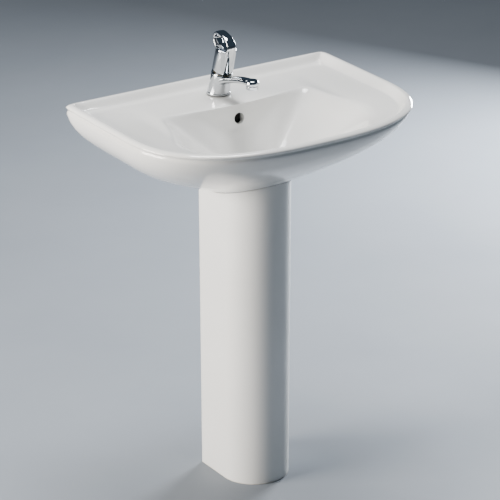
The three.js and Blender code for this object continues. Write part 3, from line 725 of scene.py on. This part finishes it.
def china_skins():
    """The basin's closed skin, and the solid mass inside its outer side.

    The skin runs from the waste hole over bowl, deck, rim and shell, round the lip, and back up
    inside to the boss under the waste.
    """
    crown = curve_reach(outline(RIM_CROWN))
    edge = reach(bowl_edge)
    cos, sin = np.cos(ANGLES), np.sin(ANGLES)
    edge_z = deck_height(edge * cos, WASTE_D + edge * sin, 1.0)

    def height(r):
        deck = deck_height(r * cos, WASTE_D + r * sin, (crown - r) / (crown - edge))
        return soft_min(deck, bowl_height(r, edge, edge_z), BOWL_BLEND)

    flat = np.full_like(ANGLES, 1.0)
    rings = [plan_ring(flat * r, WASTE_D, z) for r, z in (
        (WASTE_HOLE, 672), (WASTE_HOLE, 686), (WASTE_HOLE, 697), (23.6, 699.3), (25.2, FLOOR_Z),
        (30, FLOOR_Z), (FLOOR_FLAT, FLOOR_Z))]
    for share in [0.02, 0.05, 0.09, *np.linspace(0.13, 0.8, 24), *np.linspace(0.825, 0.995, 16)]:
        r = lerp(FLOOR_FLAT, edge, share)
        rings.append(plan_ring(r, WASTE_D, height(r)))
    for share in np.linspace(1.0, 0.0, 40)[:-1] ** 1.3:
        r = lerp(crown, edge, share)
        rings.append(plan_ring(r, WASTE_D, height(r)))
    for turn in np.linspace(0, math.pi / 2, 12):
        r = curve_reach(outline(RIM_CROWN * (1 - math.sin(turn))))
        rings.append(plan_ring(r, WASTE_D, RIM - BEAD_FALL * (1 - math.cos(turn))))
    for u in [0.036, 0.041, 0.046, 0.051, 0.056, 0.062, 0.068, 0.075, 0.083, *np.linspace(0.092, 0.985, 48)]:
        rings.append(shell_ring(u, -undercut(u), RIM - u * SHELL))
    bottom = RIM - SHELL
    mass = [plan_ring(flat * 2, WASTE_D, FLOOR_Z), *rings[5:], shell_ring(1.0, 0.0, bottom)]
    for inset, lift in ((0.0, 2.0), (0.7, 0.6), (2.2, 0.0), (7.5, 0.0), (9.3, 0.7), (10.0, 2.4)):
        rings.append(shell_ring(1.0 - lift / SHELL, -inset, bottom + lift))
    for u in np.linspace(0.97, 0.16, 26):
        rings.append(shell_ring(u, -10.0, RIM - u * SHELL))
    inner = curve_reach(outline(CHINA + 3))
    for share in np.linspace(0.0, 1.0, 8):
        r = lerp(inner, np.minimum(lerp(crown, edge, 0.8), inner), share)
        rings.append(plan_ring(r, WASTE_D, height(np.minimum(r, crown)) - CHINA))
    for share in np.linspace(0.97, 0.03, 20):
        r = lerp(FLOOR_FLAT, edge, share)
        rings.append(plan_ring(np.minimum(r + 11, inner), WASTE_D, height(r) - CHINA))
    rings += [plan_ring(flat * r, WASTE_D, z) for r, z in (
        (41, 687), (38, 684), (38, 671.5), (36.5, 670), (24, 670))]
    return (from_rings("china_basin", rings, GLAZE, loop=True, sharp=50.0),
            from_rings("china_mass", mass, GLAZE, sharp=50.0))


def side_prism(name, outline_points, half_width):
    """A prism across the basin from (depth, height) points."""
    count = len(outline_points)
    points = [(x, WALL - d, z) for x in (-half_width, half_width) for d, z in outline_points]
    faces = [tuple(reversed(range(count))), tuple(range(count, 2 * count))]
    faces += [(j, (j + 1) % count, count + (j + 1) % count, count + j) for j in range(count)]
    return mesh_piece(name, points, faces, GLAZE)


def block(name, low, high, material):
    """A plain cutter box between two corners."""
    x0, y0, z0 = low
    x1, y1, z1 = high
    points = [(x, y, z) for x in (x0, x1) for y in (y0, y1) for z in (z0, z1)]
    faces = [(0, 1, 3, 2), (4, 6, 7, 5), (0, 4, 5, 1), (2, 3, 7, 6), (0, 2, 6, 4), (1, 5, 7, 3)]
    return mesh_piece(name, points, faces, material)


def wall_frame(x, z):
    """Places a piece whose own Z runs out from the wall."""
    return Matrix.Translation((x, WALL, z)) @ Matrix.Rotation(math.pi / 2, 4, "X")


def round_cutter(name, radius, low, high, place, material=GLAZE):
    """A plain cylinder along a place's own Z."""
    profile = [(0, low), (radius, low), (radius, high), (0, high)]
    return turned(name, profile, material, place, 64, soft=0.0)


def drain_place():
    return Matrix.Translation((0, WALL - WASTE_D, 0))


def basin():
    """The basin: its one skin joined to the overflow channel, then its holes and the notch behind."""
    skin, mass = china_skins()
    duct = side_prism("duct", [
        (146, 822), (170, 815), (170, 790), (184, 765), (204, 730), (218, 697), (224, 671), (196, 671),
        (178, 690), (164, 724), (146, 756), (138, 785), (138, 822)], 24)
    channel = side_prism("channel", [
        (154, 808), (154, 790), (170, 758), (190, 718), (200, 692), (226, 690), (226, 679), (198, 679),
        (184, 696), (176, 716), (156, 750), (145, 782), (145, 808)], CHANNEL_HALF)
    bolts = [wall_frame(side * BOLT_X, BOLT_Z) for side in (-1, 1)]
    cutters = [
        channel,
        round_cutter("overflow_bore", 12, 150, 186, wall_frame(0, OVERFLOW_Z)),
        round_cutter("tap_bore", 17.5, 790, 860, Matrix.Translation((0, WALL - TAP_D, 0))),
        round_cutter("waste_bore", WASTE_HOLE - 0.05, 640, 696, drain_place()),
        block("notch", (-NOTCH_HALF, WALL - 45, 590), (NOTCH_HALF, WALL + 40, NOTCH_TOP), GLAZE),
        *[round_cutter("bolt_bore", 8, -30, 30, place) for place in bolts],
        *[round_cutter("spot_face", 20, CHINA, 40, place) for place in bolts],
    ]
    # The mass is set into the china, so that the duct it trims ends inside the bowl's wall
    mass.data.transform(Matrix.Translation((0, 4 * MM, -4 * MM)))
    duct = combined(duct, [mass], "INTERSECT")
    piece = combined(skin, [duct], "UNION", sharp=50.0)
    piece = combined(piece, cutters, "DIFFERENCE", sharp=50.0)
    piece.data.materials.append(BARE_CHINA)
    piece.data.materials.append(CHANNEL_PAINTED_SHADE)
    for face in piece.data.polygons:
        place = face.center / MM
        depth = WALL - place.y
        low_lip = place.z < RIM - SHELL + 1.2
        in_notch = abs(place.x) < NOTCH_HALF + 1 and place.z < NOTCH_TOP + 1
        if low_lip or depth < 0.05 or (in_notch and depth < CHINA + 1 and face.normal.y < 0.5):
            face.material_index = 1
        # Faces inside the overflow channel get the near-black painted shade (index 2) in place of the glaze
        if abs(place.x) < CHANNEL_HALF + 0.2 and 144.5 < depth < 155 and 760 < place.z < 808.5:
            face.material_index = 2
    return seated(piece, nodes=["basin"])


def shell_underside(x, d):
    """Height at which the outside of the shell passes over a point of the plan."""
    low, high = 0.0, 1.0
    if curve_value(shell_curve(1.0), x, d) <= 1:
        return RIM - SHELL
    for _ in range(30):
        u = (low + high) / 2
        if curve_value(shell_curve(u), x, d) < 1:
            low = u
        else:
            high = u
    return RIM - low * SHELL


def column():
    """The column: a U-shaped wall, narrower at the foot, its head fitted under the basin."""
    half = COLUMN_HALF
    centre = COLUMN_FRONT - half
    ends = COLUMN_BACK + END_ROUND
    straight = 14
    outer = [(-half, lerp(ends, centre, share)) for share in np.linspace(0, 1, straight)]
    inner = [(CHINA - half, d) for _, d in outer]
    for turn in np.linspace(0, math.pi, 66)[1:-1]:
        outer.append((-half * math.cos(turn), centre + half * math.sin(turn)))
        inner.append(((CHINA - half) * math.cos(turn), centre + (half - CHINA) * math.sin(turn)))
    outer += [(-x, d) for x, d in reversed(outer[:straight])]
    inner += [(-x, d) for x, d in reversed(inner[:straight])]
    end_turns = np.linspace(0, math.pi, 7)[1:-1]

    def wall_end(side):
        return [(side * (half - CHINA / 2 + math.cos(t) * CHINA / 2), ends - END_ROUND * math.sin(t))
                for t in end_turns]

    loop = outer + wall_end(1) + list(reversed(inner)) + wall_end(-1)[::-1]
    axis = (COLUMN_BACK + COLUMN_FRONT) / 2
    tops = [shell_underside(x, d) - COLUMN_GAP for x, d in loop]
    levels = [0.0, 0.0012, 0.003, *np.linspace(0.01, 0.985, 40), 0.996, 1.0]
    points = []
    for level in levels:
        for (x, d), top in zip(loop, tops):
            z = top * level
            scale = 1 - COLUMN_TAPER * (1 - z / COLUMN_HEAD)
            points.append((x * scale, WALL - (axis + (d - axis) * scale), z))
    count = len(loop)
    faces = ring_faces(levels, count, closed_ends=False)
    wall = len(outer)
    back = len(end_turns)

    def cap(start):
        strip = []
        for j in range(wall - 1):
            across = wall + back + wall - 1 - j
            strip.append((start + j, start + j + 1, start + across - 1, start + across))
        strip.append(tuple(start + j for j in range(wall - 1, wall + back + 1)))
        strip.append(tuple(start + j % count for j in [*range(wall + back + wall - 1, count), 0]))
        return strip

    faces += cap(0) + cap((len(levels) - 1) * count)
    piece = mesh_piece("china_column", points, faces, GLAZE, sharp=45.0)
    piece.data.materials.append(BARE_CHINA)
    for face in piece.data.polygons:
        if face.center.z < 2.2 * MM:
            face.material_index = 1
    return seated(piece, nodes=["pedestal"])


# ---- Tap ----
TAP_FOOT = Matrix.Translation((0, WALL - TAP_D, DECK))
TAP_AXIS = TAP_FOOT @ Matrix.Rotation(TAP_LEAN, 4, "X")


def tap_shaft():
    """The tap's body: a round foot on the deck, then a shaft that leans forward, open on top."""
    turns = round_turn(128)
    base = 2.3
    outside = [
        (base, 0.0), (base, 24.9), (2.8, 25.4), (3.5, 25.5), (6.2, 25.5), (7.1, 25.1), (7.8, 24.6),
        (10, 24.2), (14, 23.6), (20, 22.9), (30, 22.5), (42, 22.3), (53.6, 22.2), (54.6, 22.0),
        (55.2, 21.5), (55.4, 20.9), (55.4, 19.2), (55.1, 18.7), (54.6, 18.5), (46, 18.5), (38.4, 18.5),
        (38.0, 18.1), (38.0, 0.0)]
    rings = []
    for s, r in outside:
        lean = TAP_LEAN * float(smoothstep(s, 3.0, 22.0))
        ring = []
        for a in turns:
            x, y = max(r, 1e-3) * math.cos(a), max(r, 1e-3) * math.sin(a)
            rise = s * math.cos(TAP_LEAN) + y * math.sin(lean) + base * (1 - math.cos(TAP_LEAN))
            ring.append((x, y * math.cos(lean) - s * math.sin(TAP_LEAN), rise))
        rings.append(ring)
    return from_rings("tap_shaft", rings, CHROME, TAP_FOOT, sharp=35.0)


def flat_bar(name, line, widths, thicks, place, around, per_span, power=2.3):
    """A bar with a flattened oval section along a line in the YZ plane; its half sizes vary along it."""
    path = smooth_path([(0, y, z) for y, z in line], per_span)
    steps = np.linspace(0, 1, len(path))
    knots = np.linspace(0, 1, len(widths))
    width = np.interp(steps, knots, widths)
    thick = np.interp(steps, knots, thicks)
    for _ in range(6):
        width[1:-1] = (width[:-2] + 2 * width[1:-1] + width[2:]) / 4
        thick[1:-1] = (thick[:-2] + 2 * thick[1:-1] + thick[2:]) / 4
    rings = []
    for i, p in enumerate(path):
        ahead = path[min(i + 1, len(path) - 1)] - path[max(i - 1, 0)]
        ahead /= np.linalg.norm(ahead)
        up = np.array([0.0, -ahead[2], ahead[1]])
        ring = []
        for a in round_turn(around):
            c, s = math.cos(a), math.sin(a)
            x = width[i] * math.copysign(abs(c) ** (2 / power), c)
            h = thick[i] * math.copysign(abs(s) ** (2 / power), s)
            ring.append(tuple(p + np.array([x, 0, 0]) + up * h))
        rings.append(ring)
    return from_rings(name, rings, CHROME, place)


def tap_body():
    """Shaft, spout and outlet head joined as one casting, hollowed for the aerator."""
    ahead = OUTLET_D - TAP_D
    mouth = OUTLET_Z - DECK + 8
    spout = flat_bar(
        "spout",
        [(-6, 24), (-16, 31), (-31, 38.2), (-52, 45.3), (-84, 54), (-112, 59), (-ahead - 8, 60.6),
         (-ahead - 11, 60.7)],
        [17.5, 17, 15.6, 14.2, 13.6, 13.4, 12.6, 9.0], [13, 10.5, 8.2, 7.0, 6.6, 6.4, 6.2, 3.6],
        TAP_FOOT, around=72, per_span=12)
    head_place = TAP_FOOT @ Matrix.Translation((0, -ahead, 0))
    head = turned("head", [(0, mouth), (14, mouth), (14, mouth + 8), (11.6, mouth + 12.2), (0, mouth + 13.0)],
                  CHROME, head_place, soft=3.0)
    piece = combined(tap_shaft(), [spout, head], "UNION", sharp=30.0)
    piece.name = "tap_casting"
    cutters = [
        round_cutter("aerator_seat", 13.2, mouth - 20, mouth + 0.2, head_place),
        round_cutter("aerator_bore", 10.6, mouth - 10, mouth + 9, head_place),
        round_cutter("pocket", 18.5, 38, 54, TAP_AXIS),
    ]
    return seated(combined(piece, cutters, "DIFFERENCE", sharp=30.0), nodes=["tap_body"])


def handle():
    """The handle: a tall cap with a flat bow over it."""
    cap = turned("cap", [(0, 100), (19.9, 96), (20, 62.8), (22.2, 62.8), (22.2, 78), (21.9, 98),
                         (21.3, 115), (0, 115.8)], CHROME, TAP_AXIS, segments=128, soft=2.2)
    boss = round_cutter("boss", 6.4, 82, 102, TAP_AXIS, CHROME)
    bow = flat_bar(
        "bow",
        [(-17.6, 104), (-18, 112), (-17.3, 122), (-12, 132.3), (-1, 137.4), (14, 138.3), (28, 136.4),
         (36, 130), (36.4, 119), (29, 109), (14, 103.5)],
        [11.5, 10.9, 10.4, 10.2, 10.2, 10.3, 10.4, 10.5, 10.6, 11, 11.4],
        [3.6, 3.3, 3.1, 3.1, 3.2, 3.3, 3.4, 3.5, 3.6, 3.8, 4.0],
        TAP_AXIS, around=56, per_span=9, power=2.8)
    piece = combined(cap, [boss, bow], "UNION", sharp=32.0)
    piece.name = "lever_handle"
    screw = TAP_AXIS @ Matrix.Translation((0, 0, 88)) @ Matrix.Rotation(-math.pi / 2, 4, "X")
    socket = block("socket", (-3.6, -3.6, 80), (3.6, 3.6, 92), CHROME)
    moved(socket, TAP_AXIS)
    piece = combined(piece, [socket, round_cutter("screw_hole", 3.7, 2, 26, screw)], "DIFFERENCE", sharp=32.0)
    seated(piece, "handle", nodes=["handle"])
    button = turned("index_dot", [(0, 19.4), (3.3, 19.4), (3.3, 22.6), (0, 23.0)], two_tone(), screw,
                    segments=48, soft=0.5)
    seated(button, "handle", nodes=["index_button"])


def dome():
    """The polished ball that the cap's skirt turns over."""
    def arc(radius, low, high, steps):
        return [(math.sqrt(radius**2 - h**2), PIVOT_S + h) for h in np.linspace(low, high, steps)]

    profile = [*arc(19.3, -8.2, 13, 16), *arc(18.1, 12.6, -7, 12)]
    seated(turned("ball_cover", profile, CHROME, TAP_AXIS, soft=0.1), nodes=["cover_dome"])


def aerator():
    place = Matrix.Translation((0, WALL - OUTLET_D, OUTLET_Z))
    ring = turned("aerator_ring", [(10.2, 0), (12.4, 0.8), (12.6, 7.6), (10.2, 7.6), (10.2, 13), (8.8, 13),
                                   (8.6, 1.6)], CHROME, place, soft=0.3)
    seated(ring, nodes=["aerator_housing"])
    ridge = block("ridge", (-0.25, -0.35, 1.4), (0.25, 0.35, 7.0), CHROME)
    seated(copies_round("aerator_knurl", ridge, 60, 12.35, place))
    web = turned("aerator_screen", [(0, 3), (8.3, 3), (8.3, 12), (5, 13.2), (0, 13.2)], PLASTIC, place, 64)
    holes = [turned("hole", [(0, 2), (0.7, 2), (0.7, 6), (0, 6)], PLASTIC,
                    place @ Matrix.Translation((r * math.cos(a), r * math.sin(a), 0)), 10, soft=0)
             for r, n in ((2.4, 6), (4.6, 12), (6.7, 18)) for a in round_turn(n)]
    seated(combined(web, holes, "DIFFERENCE", sharp=30), nodes=["aerator_insert"])


def tap_seal():
    piece = turned("tap_seal", [(19, CLEAR), (23.5, CLEAR), (23.5, 2), (19, 2)], RUBBER, TAP_FOOT, soft=0.5)
    seated(piece, nodes=["tap_base_gasket"])


# ---- Waste and trap ----
def waste():
    place = drain_place()
    body = turned("waste_cup", [(19, 622), (21, 622), (21, 701.3), (33, 701.3), (33, 702.6), (32, 704.2),
                                (29.5, 704.6), (24, 703.2), (20.5, 702.4), (19, 701)],
                  CHROME, place, 128, soft=0.5)
    slots = []
    for turn in range(4):
        slot = block("slot", (-6, 13, 677), (6, 25, 691), CHROME)
        on_drain = Matrix.Translation((0, (WALL - WASTE_D) * MM, 0))
        slot.data.transform(on_drain @ Matrix.Rotation(turn * math.pi / 2, 4, "Z"))
        slots.append(slot)
    body = combined(body, slots, "DIFFERENCE", sharp=35)
    bar = block("bridge", (-19.4, WALL - WASTE_D - 2, 660), (19.4, WALL - WASTE_D + 2, 664), CHROME)
    hub = turned("hub", [(4.3, 656), (6.5, 656), (6.5, 668), (4.3, 668)], CHROME, place, 48)
    bar = combined(bar, [round_cutter("hub_bore", 5.4, 650, 670, place)], "DIFFERENCE")
    seated(combined(combined(body, [bar], "UNION", 35), [hub], "UNION", 35), nodes=["waste_body"])
    seated(thread("waste_thread", 20.9, 624, 654, 2.2, CHROME, place, ridge=0.25))
    plug = turned("waste_cap", [(0, 703), (23, 703.8), (27.5, 706.2), (27.8, 707.4), (24, 710), (12, 712),
                                (0, 712.6)], CHROME, place, 128, soft=1.2)
    seated(plug, "plug", nodes=["waste_plug"])
    seated(turned("waste_collar", [(21.5, 665.5), (34, 665.5), (34, 669.6), (21.5, 669.6)], RUBBER, place,
                  soft=0.8), nodes=["waste_under_seal"])
    seated(turned("waste_washer", [(22, 700.3), (30, 700.3), (30, 701), (22, 701)], RUBBER, place, soft=0.2),
           nodes=["waste_top_seal"])
    seated(hex_nut("waste_ring_nut", 62, 21.5, 656, 665.2, BRASS, place), nodes=["waste_backnut"])
    tail = turned("waste_tail", [(15, 560), (16, 560), (16, 612), (18.6, 614), (18.6, 650), (17.6, 650),
                                 (17.6, 615), (15, 612)], CHROME, place)
    seated(tail, nodes=["waste_tailpiece"])


def slip_nut(name, node, place):
    """A ribbed slip nut on a trap joint."""
    nut = turned(name, [(16.4, 9), (16.4, 4.5), (19.4, 4.5), (19.4, -9), (23, -9), (23.4, -8), (23.4, 5),
                        (21.5, 9)], CHROME, place, soft=0.6)
    seated(nut, nodes=[node])
    rib = block("rib", (-0.6, -1.1, -7.6), (0.5, 1.1, 4.6), CHROME)
    seated(copies_round(name + "_ribs", rib, 24, 23.3, place))


def trap():
    seated(tube("trap_bend", TRAP_BEND, 18.8, wall=1.9, sides=72), nodes=["trap_j_bend"])
    seated(tube("trap_arm", TRAP_ARM, 16, wall=1.5, sides=72), nodes=["trap_outlet_arm"])
    slip_nut("trap_nut_upper", "trap_inlet_nut", Matrix.Translation((0, WALL - WASTE_D, 587)))
    slip_nut("trap_nut_lower", "trap_union_nut", Matrix.Translation((TRAP_X, WALL - TRAP_D, 540)))
    rose = turned("waste_rose", [(16.4, CLEAR), (30, CLEAR), (29.4, 3), (19, 13), (16.4, 13)], CHROME,
                  wall_frame(TRAP_X, ARM_Z), soft=1.4)
    seated(rose, nodes=["waste_rosette"])


# ---- Water supply ----
def supply(side, name):
    """One side's tail, angle valve, rosette and knob."""
    x = side * VALVE_X
    wall = wall_frame(x, VALVE_Z)
    base = (0, WALL - TAP_D, DECK)
    above = VALVE_Z - DECK
    route = [(9 * side, 6, 22), (9 * side, 6, 0), (9 * side, 6, -34), (14 * side, 12, -57),
             (58 * side, 38, -83), (x, TAP_D - VALVE_OUT, above + 26), (x, TAP_D - VALVE_OUT, above + 14.5)]
    path = [tuple(a + b for a, b in zip(base, p)) for p in route]
    seated(tube(name + "_tail", path, 5, wall=1.1, sides=40), nodes=[name + "_supply_tail"])
    body = turned(name + "_angle_valve", [(4.6, -12), (10, -12), (10, 4), (9, 5), (9, 30), (11.5, 32),
                                          (11.5, 52), (8.5, 54), (4.6, 54)], CHROME, wall, soft=1.0)
    outlet = wall @ Matrix.Translation((0, 0, VALVE_OUT)) @ Matrix.Rotation(-math.pi / 2, 4, "X")
    neck = turned("neck", [(0, 5), (8.4, 5), (8.4, 20), (0, 20)], CHROME, outlet, 64)
    neck = combined(neck, [round_cutter("neck_bore", 5.4, 8, 22, outlet)], "DIFFERENCE")
    seated(combined(body, [neck], "UNION", 35), nodes=[name + "_valve_body"])
    seated(hex_nut(name + "_olive_nut", 20, 8.9, 12, 21, BRASS, outlet), nodes=[name + "_compression_nut"])
    rose = turned(name + "_rose", [(10.4, CLEAR), (27, CLEAR), (26.2, 2.5), (12.4, 9), (10.4, 9)], CHROME,
                  wall, soft=1.2)
    seated(rose, nodes=[name + "_valve_rosette"])
    knob = turned(name + "_knob", [(4.3, 66.4), (4.3, 56.5), (11, 56.5), (11.9, 59), (11, 73), (9, 75),
                                   (0, 75.5), (0, 66.4)], CHROME, wall, soft=0.8)
    seated(knob, name + "_knob", nodes=[name + "_valve_knob"])
    rib = block("flute", (-0.7, -0.8, 59.5), (0.6, 0.8, 72), CHROME)
    seated(copies_round(name + "_knob_grip", rib, 18, 11.55, wall), name + "_knob")


def wall_fixing(side, name):
    """One hanger bolt with its bush and nut."""
    wall = wall_frame(side * BOLT_X, BOLT_Z)
    shank = turned(name + "_bolt", [(0, -45), (2, -41), (4.3, -8), (4.5, 0), (4.5, 44), (0, 44)], STEEL,
                   wall, 48)
    seated(shank, nodes=[name + "_hanger_bolt"])
    seated(thread(name + "_bolt_thread", 4.5, 16, 43, 1.5, STEEL, wall, ridge=0.35))
    seated(thread(name + "_screw_thread", 3.4, -34, -8, 3.0, STEEL, wall, ridge=0.7))
    bush = turned(name + "_bush", [(5.2, CLEAR), (7.6, CLEAR), (7.6, 12.4), (17, 12.4), (17, 15.4),
                                   (5.2, 15.4)], PLASTIC, wall, 64, soft=0.6)
    seated(bush, nodes=[name + "_fixing_bush"])
    seated(hex_nut(name + "_nut", 17, 5.2, 15.7, 23.7, STEEL, wall), nodes=[name + "_fixing_nut"])


def under_deck():
    """The stud that holds the tap down, with its nut."""
    stud = Matrix.Translation((0, WALL - TAP_D - 8, DECK))
    shank = turned("tap_stud", [(0, -62), (3.6, -62), (3.6, 14), (0, 14)], BRASS, stud, 40)
    seated(shank, nodes=["fixing_stud"])
    seated(thread("tap_stud_thread", 3.5, -60, -28, 1.25, BRASS, stud, ridge=0.28))
    seated(hex_nut("tap_stud_nut", 13, 4.2, -26, -18.8, BRASS, stud), nodes=["fixing_nut"])


def carried_over():
    """Gives the solids that show as they are their finishes."""
    for node, piece in frame["nodes"].items():
        finish = next(m for m, slot in SLOTS.items() if slot == slot_of(node) and m is not BARE_CHINA)
        for socket in piece.material_slots:
            socket.material = finish


def slot_of(node):
    return next(row["material_slot"] for row in frame["record"]["subparts"] if row["node"] == node)


# ---- Camera, floor and light ----
def look():
    """The camera: a long lens, from the left, above the rim."""
    data = bpy.data.cameras.new("camera")
    data.sensor_width = 36.0
    data.lens = 199.2
    camera = in_scene("camera", data)
    yaw, pitch = math.radians(33.36), math.radians(22.45)
    camera.location = (-2.9734, -4.5069, 2.7448)
    camera.rotation_euler = (math.pi / 2 - pitch, 0, -yaw)
    bpy.context.scene.camera = camera


def studio():
    material = surface("pale_floor", (0.24, 0.265, 0.30), (0.22, 0.245, 0.28), (2.0, 0.7, 0.8), bump=0.0)
    reach_out = 14.0
    corners = [(x * reach_out, y * reach_out, 0) for x, y in ((-1, -1), (1, -1), (1, 1), (-1, 1))]
    mesh = bpy.data.meshes.new("floor")
    mesh.from_pydata(corners, [], [(0, 1, 2, 3)])
    mesh.materials.append(material)
    floor = in_scene("floor", mesh)
    floor.location.z = -0.0005
    lamps = (
        ("key", (-2.9, 0.7, 1.2), 1.6, 235, (1.0, 0.95, 0.88)),
        ("top", (0.2, 0.2, 3.4), 1.2, 120, (0.98, 0.99, 1.0)),
        ("right", (2.4, 1.2, 0.9), 0.9, 170, (0.92, 0.96, 1.0)),
    )
    for name, place, size, power, colour in lamps:
        data = bpy.data.lights.new(name, "AREA")
        data.shape = "SQUARE"
        data.size = size
        data.energy = power
        data.color = colour
        lamp = in_scene(name, data)
        lamp.location = place
        aim = Vector((0, 0, 0.7)) - Vector(place)
        lamp.rotation_euler = aim.to_track_quat("-Z", "Y").to_euler()
    world = bpy.data.worlds.new("studio")
    bpy.context.scene.world = world
    world.use_nodes = True
    world.node_tree.nodes["Background"].inputs["Color"].default_value = (0.34, 0.50, 0.68, 1)
    world.node_tree.nodes["Background"].inputs["Strength"].default_value = 0.13


look()
studio()
carried_over()
basin()
column()
tap_body()
handle()
dome()
aerator()
tap_seal()
waste()
trap()
for side, name in ((-1, "hot"), (1, "cold")):
    supply(side, name)
for side, name in ((-1, "left"), (1, "right")):
    wall_fixing(side, name)
under_deck()
